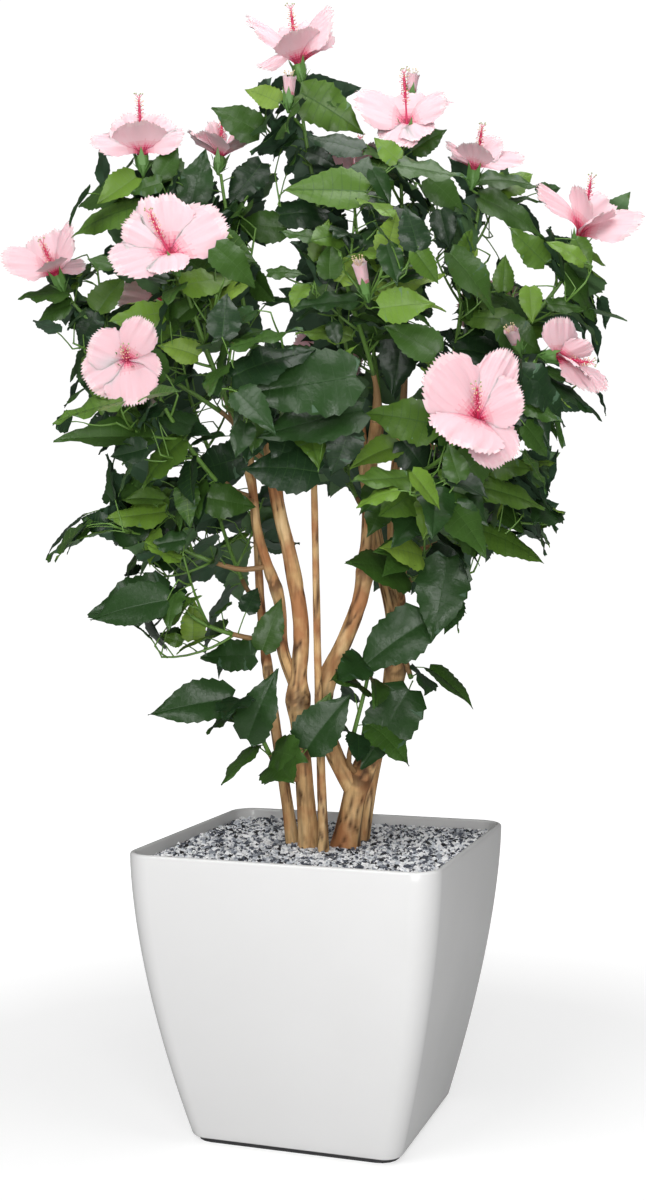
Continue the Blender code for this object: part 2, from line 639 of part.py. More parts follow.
def corolla_shape(middle, facing, size, cup):
    """Five petals as one funnel, thin to its edge."""
    radius = size / 2
    facing = facing.normalized()
    side = facing.cross(UP)
    if side.length < 0.2:
        side = facing.cross(Vector((0, 1, 0)))
    side.normalize()
    rise = side.cross(facing)

    def spot(angle, wide, height):
        return (middle + radius * wide * (math.cos(angle) * side + math.sin(angle) * rise)
                + facing * radius * height)

    bm = bmesh.new()
    step = 2 * math.pi / PETALS
    thick = PETAL_THICK / radius
    over = [bm.verts.new(spot(k * step, THROAT_WIDE, -THROAT_DEPTH + thick)) for k in range(PETALS)]
    under = [bm.verts.new(spot(k * step, THROAT_WIDE, -THROAT_DEPTH)) for k in range(PETALS)]
    edge = []
    for k in range(PETALS):
        angle = k * step
        edge.append([bm.verts.new(spot(angle, PETAL_NOTCH, cup - PETAL_DIP)),
                     bm.verts.new(spot(angle + step / 2 - PETAL_SPREAD, 1.0, cup + PETAL_TILT)),
                     bm.verts.new(spot(angle + step / 2 + PETAL_SPREAD, 1.0, cup - PETAL_TILT))])
    bm.faces.new(over)
    bm.faces.new(reversed(under))
    for k in range(PETALS):
        j = (k + 1) % PETALS
        notch, first, second = edge[k]
        for ring in (over, under):
            bm.faces.new((ring[k], notch, first))
            bm.faces.new((ring[k], first, second, ring[j]))
            bm.faces.new((ring[j], second, edge[j][0]))
    return bm


def bloom_pieces(bloom, shoot):
    """Meshes of a bloom or bud: (kind, mesh) for its stalk with calyx, petals, column."""
    middle, facing = plant_place(bloom.middle), plant_place(bloom.facing).normalized()
    root, along = along_path(shoot, min(bloom.along, 0.985))
    if bloom.kind == "bud":
        foot = middle - facing * bloom.size / 2
        stalk = bent_path(root, along + facing, foot, facing, 3)
        path = [foot + facing * bloom.size * part for part, _ in BUD_PROFILE]
        bud = tube(path, [width for _, width in BUD_PROFILE], PETALS)
        return [("twig", tube(stalk, BUD_STALK, TWIG_SIDES)), ("petal", bud)]
    radius = bloom.size / 2
    cup = middle - facing * radius * THROAT_DEPTH
    foot = cup - facing * CALYX_LONG
    stalk = bent_path(root, along + 0.4 * facing, foot, facing, 3)
    path = stalk + [foot + facing * CALYX_LONG / 2, cup + facing * CALYX_SUNK]
    column = [cup - facing * COLUMN_SUNK, middle + facing * radius * (COLUMN_LONG - THROAT_DEPTH)]
    return [("twig", tube(path, BLOOM_STALK + CALYX, TWIG_SIDES)),
            ("petal", corolla_shape(middle, facing, bloom.size, bloom.cup)),
            ("petal", tube(column, COLUMN, TWIG_SIDES))]


# ---------------------------------------------------------------- growing a mass
def seat_on_limb(mass, shapes, trees):
    """Where a mass's main shoot starts, clear of its limb, and the way it leaves."""
    path, _ = shapes[mass.limb]
    point, tangent = along_path(path, mass.along)
    if mass.along >= 1.0:
        return point + tangent * GAP, tangent
    towards = plant_place(mass.end) - point
    out = (towards - tangent * towards.dot(tangent)).normalized()
    hit, normal, _, _ = trees[mass.limb].ray_cast(point + out * SEAT_REACH, -out)
    return hit + normal * GAP, normal


def shoot_paths(shapes, trees):
    """The main shoot of every mass. It leaves its limb square to the seat."""
    paths = {}
    for mass in MASSES:
        start, way = seat_on_limb(mass, shapes, trees)
        neck = start + way * SHOOT_NECK
        end = plant_place(mass.end)
        arrive = (end - neck).normalized() + SHOOT_RISE * UP
        paths[mass.name] = [start] + bent_path(neck, way, end, arrive, MAIN_PIECES, SHOOT_PULL)
    return paths


def mixed(shares, *ways):
    """Unit direction mixed from several ways."""
    return sum((share * way for share, way in zip(shares, ways)), Vector()).normalized()


def outward(point):
    """Level way out from the crown's upright axis."""
    away = Vector((point.x, point.y, 0))
    return away.normalized() if away.length > 0.01 else Vector((0, -1, 0))


def side_shoots(mass, main, space, rng):
    """Paths of the side shoots, each bending up and kept in the mass's space."""
    paths = []
    turn = rng.uniform(0, 2 * math.pi)
    for k in range(mass.shoots):
        part = SIDE_FIRST + (SIDE_LAST - SIDE_FIRST) * (k + 0.5) / mass.shoots
        start, tangent = along_path(main, part)
        turn += GOLDEN
        side = Matrix.Rotation(turn, 3, tangent) @ tangent.orthogonal().normalized()
        way = mixed(SIDE_WAY, tangent, side, outward(start))
        length = rng.uniform(*SIDE_LONG)
        while length > SIDE_SHORTEST:
            end = start + (way + SIDE_RISE * UP).normalized() * length
            path = bent_path(start, way, end, way + 2 * SIDE_RISE * UP, SIDE_PIECES)
            if space.holds(mass.name, path[1:], mass.reach):
                paths.append(path)
                break
            length *= SIDE_CUT
    return paths


def leaf_stations(shoots, rng):
    """Places for leaves, as (number of the shoot, part of its length), well mixed."""
    stations = []
    for number, path in enumerate(shoots):
        first = MAIN_BARE if number == 0 else SIDE_BARE
        length = sum((b - a).length for a, b in zip(path, path[1:]))
        count = max(2, round(length * (1 - first) / LEAF_GAP))
        for k in range(count):
            stations.append((number, first + (0.99 - first) * (k + 0.5) / count))
    rng.shuffle(stations)
    return stations


def try_leaf(path, part, turn, size, rng):
    """One leaf on a shoot."""
    root, tangent = along_path(path, part)
    side = Matrix.Rotation(turn, 3, tangent) @ tangent.orthogonal().normalized()
    stalk_way = mixed(STALK_WAY, tangent, side, outward(root))
    base = root + stalk_way * rng.uniform(STALK_SHORT, STALK_LONG)
    out = outward(base)
    way = LEAF_ALONG * stalk_way - rng.uniform(*LEAF_DROOP) * UP
    way -= LEAF_TURN * max(0.0, way.dot(out)) * out
    face = LEAF_LIFT * UP + out
    face += Vector([rng.uniform(-LEAF_SCATTER, LEAF_SCATTER) for _ in range(3)])
    return leaf_shape(root, base, way, face, size)


def leaf_points(bm):
    points = [vert.co for vert in bm.verts]
    points = points + [(edge.verts[0].co + edge.verts[1].co) / 2 for edge in bm.edges]
    return points


def main_pieces(mass, main, solids):
    """The main shoot, blooms and lone leaves of a mass, as (kind, mesh)."""
    steps = len(main) - 1
    widths = [SHOOT_THICK + (SHOOT_THIN - SHOOT_THICK) * k / steps for k in range(steps + 1)]
    pieces = [("twig", tube(main, widths, TWIG_SIDES, main[1] - main[0]))]
    for bloom in mass.blooms:
        pieces += bloom_pieces(bloom, main)
    for leaf in mass.lone:
        root, _ = along_path(main, leaf.along)
        base, tip = plant_place(leaf.base), plant_place(leaf.tip)
        face = plant_place(LONE_FACE)
        pieces.append(("leaf", leaf_shape(root, base, tip - base, face, (tip - base).length)))
    for number, (_, bm) in enumerate(pieces):
        tree, points = tree_of(bm)
        solids.add(tree, points, mass.name, 0 if number == 0 else "bloom")
    return pieces


def grow_leaves(index, mass, main, space, solids):
    """The side shoots and leaves of a mass, as (kind, mesh)."""
    rng = random.Random(SEED + index)
    pieces = []
    sides = side_shoots(mass, main, space, rng)
    for number, path in enumerate(sides, 1):
        bm = tube(path, [SHOOT_THIN / 2] + [SHOOT_THIN] * (len(path) - 1), TWIG_SIDES)
        tree, points = tree_of(bm)
        solids.add(tree, points, mass.name, number)
        pieces.append(("twig", bm))
    shoots = [main] + sides
    turn = rng.uniform(0, 2 * math.pi)
    leaves = 0
    for shoot, part in leaf_stations(shoots, rng):
        if leaves == mass.leaves:
            break
        turn += GOLDEN
        size = rng.uniform(LEAF_SHORT, LEAF_LONG)
        for attempt in range(LEAF_TRIES):
            shrink = 1 - LEAF_SHRINK * attempt / LEAF_TRIES
            swing = rng.uniform(-LEAF_SWING, LEAF_SWING) * attempt
            bm = try_leaf(shoots[shoot], part, turn + swing, size * shrink, rng)
            if space.holds(mass.name, leaf_points(bm), mass.reach):
                tree, points = tree_of(bm, LEAF_CLEAR)
                if not solids.touches(tree, points, mass.name, shoot):
                    solids.add(tree, points, mass.name, "leaf")
                    pieces.append(("leaf", bm))
                    leaves += 1
                    break
            bm.free()
    return pieces


# ---------------------------------------------------------------- joining a mass
def shells_of(bm):
    """The faces of each separate piece of a mesh, largest piece first."""
    left, shells = set(bm.faces), []
    while left:
        shell, queue = set(), [next(iter(left))]
        while queue:
            face = queue.pop()
            if face in shell:
                continue
            shell.add(face)
            queue += [other for edge in face.edges for other in edge.link_faces]
        left -= shell
        shells.append(shell)
    return sorted(shells, key=len, reverse=True)


def cancel_pairs(bm):
    """Two triangles back to back on the same three corners enclose nothing: both go."""
    groups = {}
    for face in bm.faces:
        groups.setdefault(frozenset(face.verts), []).append(face)
    pairs = [face for group in groups.values() if len(group) == 2 for face in group]
    bmesh.ops.delete(bm, geom=pairs, context="FACES")


def tidy_solid(mesh, weld):
    """Makes corners closer than weld one, splits the faces into triangles, and drops
    loose scraps and sealed hollows. True if every edge then has two faces."""
    bm = bmesh.new()
    bm.from_mesh(mesh)
    bmesh.ops.remove_doubles(bm, verts=bm.verts[:], dist=weld)
    bmesh.ops.triangulate(bm, faces=bm.faces[:])
    cancel_pairs(bm)
    for shell in shells_of(bm)[1:]:
        bmesh.ops.delete(bm, geom=list(shell), context="FACES")
    sound = len(bm.faces) > 0 and all(len(edge.link_faces) == 2 for edge in bm.edges)
    bm.to_mesh(mesh)
    bm.free()
    return sound


def unite(obj, shoot, operands, solver, weld):
    """Joins the operands to a copy of the main shoot's mesh. True if that is sound."""
    obj.data = shoot.copy()
    union = obj.modifiers.new("union", "BOOLEAN")
    union.operation = "UNION"
    union.operand_type = "COLLECTION"
    union.collection = operands
    union.solver = solver
    apply_modifiers(obj)
    return tidy_solid(obj.data, weld)


def join_mass(name, pieces, mats, collection):
    """One Boolean union of all the pieces of a mass, with a leaf fewer where it fails."""
    kinds = {"twig": 0, "leaf": 1, "petal": 2}
    slots = [mats["twig"], mats["leaf"], mats["petal"]]
    operands = bpy.data.collections.new(name + "_pieces")
    bpy.context.scene.collection.children.link(operands)
    for number, (kind, bm) in enumerate(pieces[1:]):
        add_object(f"{name}_piece_{number:02d}", bm, slots, operands, kinds[kind])
    obj = add_object(name, pieces[0][1], slots, collection, kinds[pieces[0][0]])
    shoot = obj.data
    while not any(unite(obj, shoot, operands, *way) for way in UNION_TRIES):
        bpy.data.objects.remove(operands.objects[-1])
    bpy.data.meshes.remove(shoot)
    for piece in list(operands.objects):
        bpy.data.objects.remove(piece)
    bpy.data.collections.remove(operands)
    return obj


def make_masses(shapes, limbs, mats, collection):
    solids, trees = Solids(), {}
    for name, obj in limbs.items():
        bm = bmesh.new()
        bm.from_mesh(obj.data)
        trees[name] = tree_of(bm)[0]
        tree, points = tree_of(bm, LEAF_CLEAR)
        solids.add(tree, points, None)
        bm.free()
    mains = shoot_paths(shapes, trees)
    space = Space(mains)
    pieces = {mass.name: main_pieces(mass, mains[mass.name], solids) for mass in MASSES}
    for index, mass in enumerate(MASSES):
        pieces[mass.name] += grow_leaves(index, mass, mains[mass.name], space, solids)
        join_mass(mass.name, pieces[mass.name], mats, collection)


def main():
    clear_scene()
    parts = bpy.data.collections.new("hibiscus_shrub")
    cutters = bpy.data.collections.new("cutters")
    bpy.context.scene.collection.children.link(parts)
    bpy.context.scene.collection.children.link(cutters)
    mats = {
        "glaze": material("white_gloss", (0.86, 0.86, 0.85), 0.12),
        "foot": material("foot_grey", (0.10, 0.10, 0.10), 0.60),
        "gravel": material("gravel_grey", (0.40, 0.42, 0.45), 0.80),
        "wood": material("bare_wood", (0.52, 0.33, 0.16), 0.65),
        "twig": material("shoot_green", (0.20, 0.34, 0.08), 0.50),
        "leaf": material("leaf_green", (0.035, 0.12, 0.035), 0.35),
        "petal": material("petal_pink", (0.90, 0.62, 0.68), 0.55),
    }
    make_pot(mats, parts)
    make_foot(mats, parts)
    make_gravel(mats, parts, cutters)
    shapes, limbs = make_limbs(mats, parts, cutters)
    make_masses(shapes, limbs, mats, parts)


main()
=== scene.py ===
"""Looks of the hibiscus shrub: blooms, toothed leaves, barked stems, gravel and planter.

Metres, +Z up, in the frame of the solids. The plant's own places are given as
(across, deep, up) and turned with the plant. Masses grow by the solids' rule: the same
limbs, main shoots, side shoots and spaces, carried on to finer twigs and more leaves.
"""
import json
import math
import random
from collections import namedtuple
from itertools import accumulate, product

import bpy
import numpy as np
from mathutils import Matrix, Vector, noise

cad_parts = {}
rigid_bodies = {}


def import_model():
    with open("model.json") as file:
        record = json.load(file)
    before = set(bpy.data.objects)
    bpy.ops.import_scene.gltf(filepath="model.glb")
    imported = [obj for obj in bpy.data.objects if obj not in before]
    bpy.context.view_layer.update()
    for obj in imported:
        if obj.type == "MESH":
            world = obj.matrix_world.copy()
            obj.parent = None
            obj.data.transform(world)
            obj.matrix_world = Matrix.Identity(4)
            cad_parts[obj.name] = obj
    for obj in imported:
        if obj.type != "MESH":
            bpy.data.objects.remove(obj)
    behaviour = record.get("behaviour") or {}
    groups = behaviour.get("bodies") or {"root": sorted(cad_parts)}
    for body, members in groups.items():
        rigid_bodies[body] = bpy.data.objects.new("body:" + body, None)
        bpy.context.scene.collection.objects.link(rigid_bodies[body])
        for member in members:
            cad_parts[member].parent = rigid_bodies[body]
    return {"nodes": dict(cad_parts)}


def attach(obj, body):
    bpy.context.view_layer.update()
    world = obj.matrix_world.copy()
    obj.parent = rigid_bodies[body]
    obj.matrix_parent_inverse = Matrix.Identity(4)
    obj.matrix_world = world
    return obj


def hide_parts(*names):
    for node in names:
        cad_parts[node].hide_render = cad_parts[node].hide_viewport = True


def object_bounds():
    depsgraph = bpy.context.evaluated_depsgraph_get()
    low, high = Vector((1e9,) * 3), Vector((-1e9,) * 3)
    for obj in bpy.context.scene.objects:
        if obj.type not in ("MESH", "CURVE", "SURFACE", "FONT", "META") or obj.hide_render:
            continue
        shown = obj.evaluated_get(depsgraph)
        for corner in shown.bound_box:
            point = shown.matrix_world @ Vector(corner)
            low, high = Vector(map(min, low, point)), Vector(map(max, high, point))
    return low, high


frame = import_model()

CAD_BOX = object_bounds()

# ---------------------------------------------------------------- driving sizes
PLANT_TURN = math.radians(18.4)
UP = Vector((0, 0, 1))

POT_WIDTH = 0.430
POT_HEIGHT = 0.400
POT_BASE_WIDTH = 0.293
POT_BELLY = 1.6
POT_CORNER_TOP = 0.038
POT_CORNER_BASE = 0.025
POT_WALL = 0.008
POT_EDGE = 0.003
POT_RINGS = 40
FOOT_HEIGHT = 0.006
FOOT_GAP = 0.0003
GRAVEL_TOP = 0.385
HEAP_CELLS = 7                   # the gravel's low heaps lie on a grid of this many cells
HEAP_MARGIN = 0.015
HEAP_RISE = (0.0012, 0.0040)
HEAP_DIP = 0.0030
HEAP_CLEAR = 0.105
GRAVEL_GAP = 0.0015              # between the chips' square and the planter's wall
CHIP_STEP = 0.0046
CHIP_SIZE = (0.0014, 0.0028)
CHIP_SHAPES = 60                 # different chips that the gravel is drawn from
CHIP_IN = 0.002                  # least distance of a chip's middle from the square's edge
CHIP_SUNK = 0.0022               # how far chips lie under the gravel's top
CHIP_OVER = (0.0005, 0.0026)     # and the second layer over the first
CHIP_MISSING = 0.45              # part of the second layer that is left out

FLARE_SWELL = 0.35
FLARE_HEIGHT = 0.030
KNOT_LENGTH = 0.022
KNOT_DARK = 0.15                 # a knot that swells more than this is dark and lumpy
STEM_SIDES = 28
STEM_RING = 0.0035
STEM_SINK = 0.004                # how far a stem's foot goes on into the gravel
STEM_STOUT = 0.008               # a thinner limb has half the sides
LINE_STEP = 0.012

SHOOT_THICK = 0.0042
SHOOT_THIN = 0.0022
SHOOT_WOODY = 0.060              # how far a main shoot is still brown wood
SHOOT_NECK = 0.006
SHOOT_PULL = 0.55
SHOOT_RISE = 0.5
MAIN_PIECES = 6
SIDE_PIECES = 2
SIDE_FIRST = 0.30
SIDE_LAST = 0.85
SIDE_LONG = (0.10, 0.15)
SIDE_SHORTEST = 0.05
SIDE_CUT = 0.8
SIDE_WAY = (0.55, 0.90, 0.25)
SIDE_RISE = 0.35
FINE_PARTS = (0.35, 0.62, 0.85)  # parts of a side shoot where its fine ones start
FINE_PIECES = 4
FINE_LONG = (0.035, 0.065)
FINE_WAY = (0.6, 0.9, 0.3)
SPACE_FROM = 2                   # a main shoot's first pieces claim no space
POT_CLEAR = 0.01
LEAF_CLEAR = 0.0012
GOLDEN = math.radians(137.5)

STALK_LONG = 0.050
STALK_SHORT = 0.018
STALK_THICK = 0.0010
STALK_WAY = (0.45, 0.90, 0.10)
LEAF_LONG = 0.112
LEAF_SHORT = 0.052
LEAF_HALF = (0.27, 0.37)         # half-width of a blade to its length
LEAF_ALONG = 0.8
LEAF_DROOP = (0.0, 0.60)
LEAF_TURN = 0.25
LEAF_LIFT = 0.85
LEAF_SCATTER = 0.55
LEAF_GAP = 0.017
LEAF_TRIES = 24
LEAF_SHRINK = 0.35
LEAF_SWING = 0.12
LEAF_MIDDLE = 0.45
LEAF_APART = 0.027               # least distance between the middles of two blades
LEAF_OVER = 0.010                # unless one lies this far over the other
LIMB_CLEAR = 0.002
PAST_BOX = 0.012                 # how far blades may reach past the solids' box
# Leaves closer to the plant's axis than 0.55 of this radius get only the darker tones, painted
# shade.
CROWN_RADIUS = 0.30
LONE_FACE = (-0.10, -0.88, 0.46)
MAIN_BARE = 0.22                 # part of a main shoot that bears no leaf
SIDE_BARE = 0.12
SHOWN_NEAR = 0.012               # how far a leaf in view lies in front of its shoot
SHOWN_FULL = 0.32                # half-width as seen of a blade that faces the camera
LEAF_KEPT = 0.30                 # part of a leaf's length, as a radius, that stays in view
BLOOM_KEPT = 0.42
TEETH = 9                        # teeth on each side of a blade
BLADES = 18                      # different blades that the leaves are drawn from
# Half-widths along a blade, the columns of corners and of a vein from the midrib to the
# edge, and a vein's half-widths there in rows.
EDGE_OUTLINE = ([-0.06, 0.00, 0.08, 0.20, 0.32, 0.46, 0.60, 0.74, 0.86, 0.94, 1.00],
                [0.36, 0.66, 0.87, 0.985, 1.00, 0.93, 0.76, 0.50, 0.25, 0.10, 0.00])
BLADE_PARTS = np.array([0.0, 0.30, 0.66, 1.0])
VEIN_PARTS = np.array([0.0, 0.30, 0.66, 0.94])
VEIN_HALF = np.array([0.080, 0.066, 0.048, 0.015])

PETALS = 5
PETAL_ROWS = 18
PETAL_COLUMNS = 35
PETAL_FULL = 1.15
PETAL_LEAN = 0.85
PETAL_FRINGE = 0.070
PETAL_NICK = 0.07
PETAL_OUTLINE = ([0, 0.12, 0.35, 0.62, 0.85, 1.0], [0.13, 0.22, 0.58, 0.94, 1.0, 0.93])
PETAL_LIMITS = [0.19, 0.25, 0.31, 0.41, 0.90]    # parts of a petal where its colour changes
THROAT_DEPTH = 0.42
BLOOM_CUP = 0.10
BLOOM_BACK = 0.35
CALYX_LONG = 0.022
CALYX_WIDE = 0.0105
STAMENS = 60
STAMEN_PARTS = (0.42, 0.56)      # where on the column they start, and over what part
ANTHERS = ["column_pink", "column_pink", "anther_cream"]
COLUMN_OUTLINE = ([0, 0.12, 0.55, 0.62, 0.9, 1.0],
                  [0.0028, 0.0013, 0.0013, 0.0021, 0.0018, 0.0008])
BUD_OUTLINE = ([0, 0.3, 0.75, 1.0], [0.0045, 0.0075, 0.0085, 0.0105])

CAMERA_HEIGHT = 0.734
CAMERA_ASIDE = -0.003
CAMERA_FAR = 2.2
CAMERA_LIFT = math.radians(1.294)
VIEW_LENGTH = 1561               # picture dots that a thing as wide as it is far away fills
VIEW_MIDDLE = (323, 600)

# Area lights: place as metres right, back and up, the height they aim at, size and power.
LIGHTS = [
    ("key", (-1.7, 2.0, 2.65), 0.85, (1.8, 1.8), 52),
    ("top", (0.5, 0.3, 3.15), 0.85, (1.8, 1.8), 43),
    ("fill", (0.3, 2.6, 0.25), 0.85, (1.2, 0.8), 20),
    ("low", (0.2, 2.4, 1.15), 0.4, (1.0, 0.5), 20),
]
STAGE_GLOW = 0.12                # how bright floor and background are as lights
WORLD_SEEN = 1.05
FLOOR_HALF = 9.0

SEED = 41

Limb = namedtuple("Limb", "name parent thick thin way knots")
LIMBS = [
    Limb("stem_left", None, 0.0135, 0.0085,
         [(-0.022, -0.005, GRAVEL_TOP), (-0.03, -0.01, 0.49), (-0.038, -0.01, 0.595),
          (-0.034, -0.01, 0.695), (-0.048, -0.012, 0.79), (-0.066, -0.02, 0.87),
          (-0.085, -0.02, 1.0)],
         [(0.34, 0.55), (0.62, 0.12)]),
    Limb("stem_thin_left", None, 0.0085, 0.005,
         [(-0.046, 0.028, GRAVEL_TOP), (-0.061, 0.03, 0.485), (-0.078, 0.035, 0.6),
          (-0.092, 0.045, 0.72), (-0.1, 0.06, 0.85), (-0.11, 0.08, 0.95)],
         [(0.45, 0.2)]),
    Limb("stem_straight", None, 0.0066, 0.0042,
         [(-0.002, -0.038, GRAVEL_TOP), (-0.01, -0.04, 0.64), (-0.015, -0.045, 0.88),
          (-0.018, -0.05, 0.965)],
         []),
    Limb("stem_right", None, 0.017, 0.0075,
         [(0.029, 0, GRAVEL_TOP), (0.045, 0, 0.47), (0.068, 0, 0.525),
          (0.088, 0, 0.585), (0.1, 0, 0.645), (0.097, 0.02, 0.715),
          (0.078, 0.038, 0.795), (0.06, 0.07, 0.905), (0.051, 0.09, 0.99)],
         [(0.16, 0.18), (0.42, 0.25)]),
    Limb("stem_back", None, 0.0105, 0.006,
         [(0.05, 0.046, GRAVEL_TOP), (0.072, 0.052, 0.5), (0.1, 0.06, 0.62),
          (0.108, 0.062, 0.72), (0.098, 0.058, 0.81), (0.098, 0.05, 0.89),
          (0.112, 0.042, 1.015)],
         [(0.55, 0.2)]),
    Limb("bough_centre", "stem_right", 0.0135, 0.0085,
         [(0.043, 0, 0.46), (0.012, -0.01, 0.52), (-0.002, -0.015, 0.573),
          (0.003, -0.02, 0.625), (0.029, -0.02, 0.682), (0.05, -0.02, 0.74),
          (0.059, -0.02, 0.81), (0.062, -0.022, 0.9), (0.072, -0.03, 0.99)],
         [(0.3, 0.15), (0.62, 0.22)]),
    Limb("bough_left", "stem_left", 0.0095, 0.0055,
         [(-0.04, -0.008, 0.61), (-0.06, 0, 0.665), (-0.064, 0.002, 0.73),
          (-0.082, 0, 0.785), (-0.096, -0.004, 0.835), (-0.102, -0.01, 0.89),
          (-0.118, -0.03, 0.955)],
         [(0.42, 0.25)]),
    Limb("bough_right", "stem_back", 0.0062, 0.004,
         [(0.108, 0.062, 0.73), (0.118, 0.066, 0.83), (0.128, 0.062, 0.905),
          (0.16, 0.045, 0.975), (0.205, 0.03, 1.035)],
         []),
]

Bloom = namedtuple("Bloom", "middle facing size along", defaults=(1.0,))
Bud = namedtuple("Bud", "middle facing size along")
Leaf = namedtuple("Leaf", "along base tip")
Mass = namedtuple("Mass", "name limb along end shoots reach blooms lone", defaults=((), ()))
Shown = namedtuple("Shown", "cup near petals column")
MASSES = [
    Mass("foliage_top", "stem_right", 1.0, (-0.036, 0, 1.44), 5, 0.165,
         [Bloom((-0.038, 0, 1.508), (-0.25, -0.18, 0.95), 0.135),
          Bud((-0.05, -0.035, 1.438), (0.02, -0.1, 1.0), 0.045, 0.88)]),
    Mass("foliage_top_right", "stem_back", 1.0, (0.106, 0.005, 1.362), 5, 0.165,
         [Bloom((0.11, -0.025, 1.405), (0.02, -0.5, 0.86), 0.135),
          Bud((0.124, 0.055, 1.47), (0.1, 0, 1.0), 0.045, 0.9)]),
    Mass("foliage_top_left", "stem_left", 1.0, (-0.15, 0.06, 1.345), 5, 0.165,
         [Bloom((-0.16, 0.085, 1.395), (0.25, 0.45, 0.9), 0.115)]),
    Mass("foliage_left_upper", "bough_left", 1.0, (-0.25, -0.045, 1.315), 5, 0.16,
         [Bloom((-0.258, -0.055, 1.372), (-0.08, -0.25, 0.97), 0.13)]),
    Mass("foliage_left_front", "stem_left", 0.88, (-0.186, -0.175, 1.16), 5, 0.15,
         [Bloom((-0.2, -0.205, 1.21), (-0.25, -0.6, 0.76), 0.145)]),
    Mass("foliage_far_left", "stem_thin_left", 1.0, (-0.362, 0.01, 1.16), 4, 0.15,
         [Bloom((-0.39, 0, 1.212), (-0.35, -0.25, 0.9), 0.122)]),
    Mass("foliage_left_lower", "bough_left", 0.76, (-0.225, -0.18, 1.02), 4, 0.15,
         [Bloom((-0.252, -0.225, 1.055), (-0.05, -0.95, 0.3), 0.125)]),
    Mass("foliage_low_left", "bough_left", 0.5, (-0.265, -0.02, 0.85), 4, 0.15),
    Mass("foliage_front_upper", "bough_centre", 1.0, (0.016, -0.215, 1.19), 4, 0.15,
         [Bud((0.046, -0.235, 1.145), (-0.25, -0.45, 0.9), 0.05, 0.85)]),
    Mass("foliage_front_centre", "stem_straight", 1.0, (-0.06, -0.245, 1.04), 4, 0.15),
    Mass("foliage_right_upper", "stem_back", 0.93, (0.222, 0.03, 1.31), 5, 0.16,
         [Bloom((0.226, 0.02, 1.365), (0.12, -0.18, 0.97), 0.115)]),
    Mass("foliage_far_right", "bough_right", 1.0, (0.352, -0.01, 1.215), 4, 0.15,
         [Bloom((0.376, -0.02, 1.262), (0.3, -0.28, 0.9), 0.138)]),
    Mass("foliage_right_side", "bough_right", 0.7, (0.285, -0.08, 1.06), 5, 0.15,
         [Bloom((0.322, -0.105, 1.07), (0.72, -0.62, 0.25), 0.122),
          Bud((0.252, -0.11, 1.085), (-0.4, -0.55, 0.75), 0.04, 0.85)]),
    Mass("foliage_right_lower", "bough_centre", 0.84, (0.162, -0.245, 0.935), 4, 0.15,
         [Bloom((0.183, -0.3, 0.962), (-0.12, -0.93, 0.32), 0.15)]),
    Mass("foliage_low_right", "stem_back", 0.66, (0.262, -0.02, 0.88), 4, 0.15),
    Mass("foliage_low_front", "stem_right", 0.6, (0.15, -0.11, 0.79), 2, 0.13, (),
         [Leaf(0.9, (0.162, -0.13, 0.793), (0.142, -0.15, 0.682)),
          Leaf(0.8, (0.134, -0.11, 0.707), (0.032, -0.12, 0.651))]),
    Mass("foliage_back_top", "stem_right", 0.92, (0.045, 0.205, 1.335), 4, 0.16,
         [Bloom((0.05, 0.235, 1.39), (0.1, 0.45, 0.9), 0.13)]),
    Mass("foliage_back_left", "stem_thin_left", 0.88, (-0.245, 0.235, 1.165), 4, 0.16,
         [Bloom((-0.265, 0.275, 1.205), (-0.45, 0.7, 0.55), 0.135)]),
    Mass("foliage_back_right", "stem_back", 0.84, (0.245, 0.245, 1.145), 4, 0.16,
         [Bloom((0.27, 0.285, 1.18), (0.5, 0.7, 0.5), 0.135)]),
    Mass("foliage_back_centre", "stem_right", 0.8, (-0.005, 0.3, 1.075), 4, 0.16,
         [Bloom((0, 0.345, 1.11), (0, 0.9, 0.42), 0.13)]),
    Mass("foliage_back_low_left", "stem_thin_left", 0.62, (-0.175, 0.225, 0.9), 3, 0.15),
    Mass("foliage_back_low_right", "stem_back", 0.74, (0.175, 0.25, 0.89), 3, 0.15),
    Mass("spray_left", "bough_left", 0.2, (-0.193, -0.05, 0.719), 2, 0.13, (),
         [Leaf(0.93, (-0.215, -0.06, 0.746), (-0.324, -0.08, 0.72))]),
    Mass("spray_left_low", "stem_left", 0.16, (-0.11, -0.07, 0.608), 0, 0.13, (),
         [Leaf(0.9, (-0.127, -0.08, 0.601), (-0.239, -0.1, 0.593)),
          Leaf(0.35, (-0.106, -0.085, 0.547), (-0.07, -0.11, 0.64)),
          Leaf(0.1, (-0.025, -0.07, 0.532), (0.027, -0.075, 0.613))]),
    Mass("spray_centre", "stem_right", 0.17, (0.062, -0.06, 0.65), 0, 0.13),
    Mass("spray_right", "stem_right", 0.43, (0.122, -0.045, 0.622), 0, 0.13, (),
         [Leaf(0.95, (0.115, -0.06, 0.612), (0.049, -0.08, 0.506))]),
]

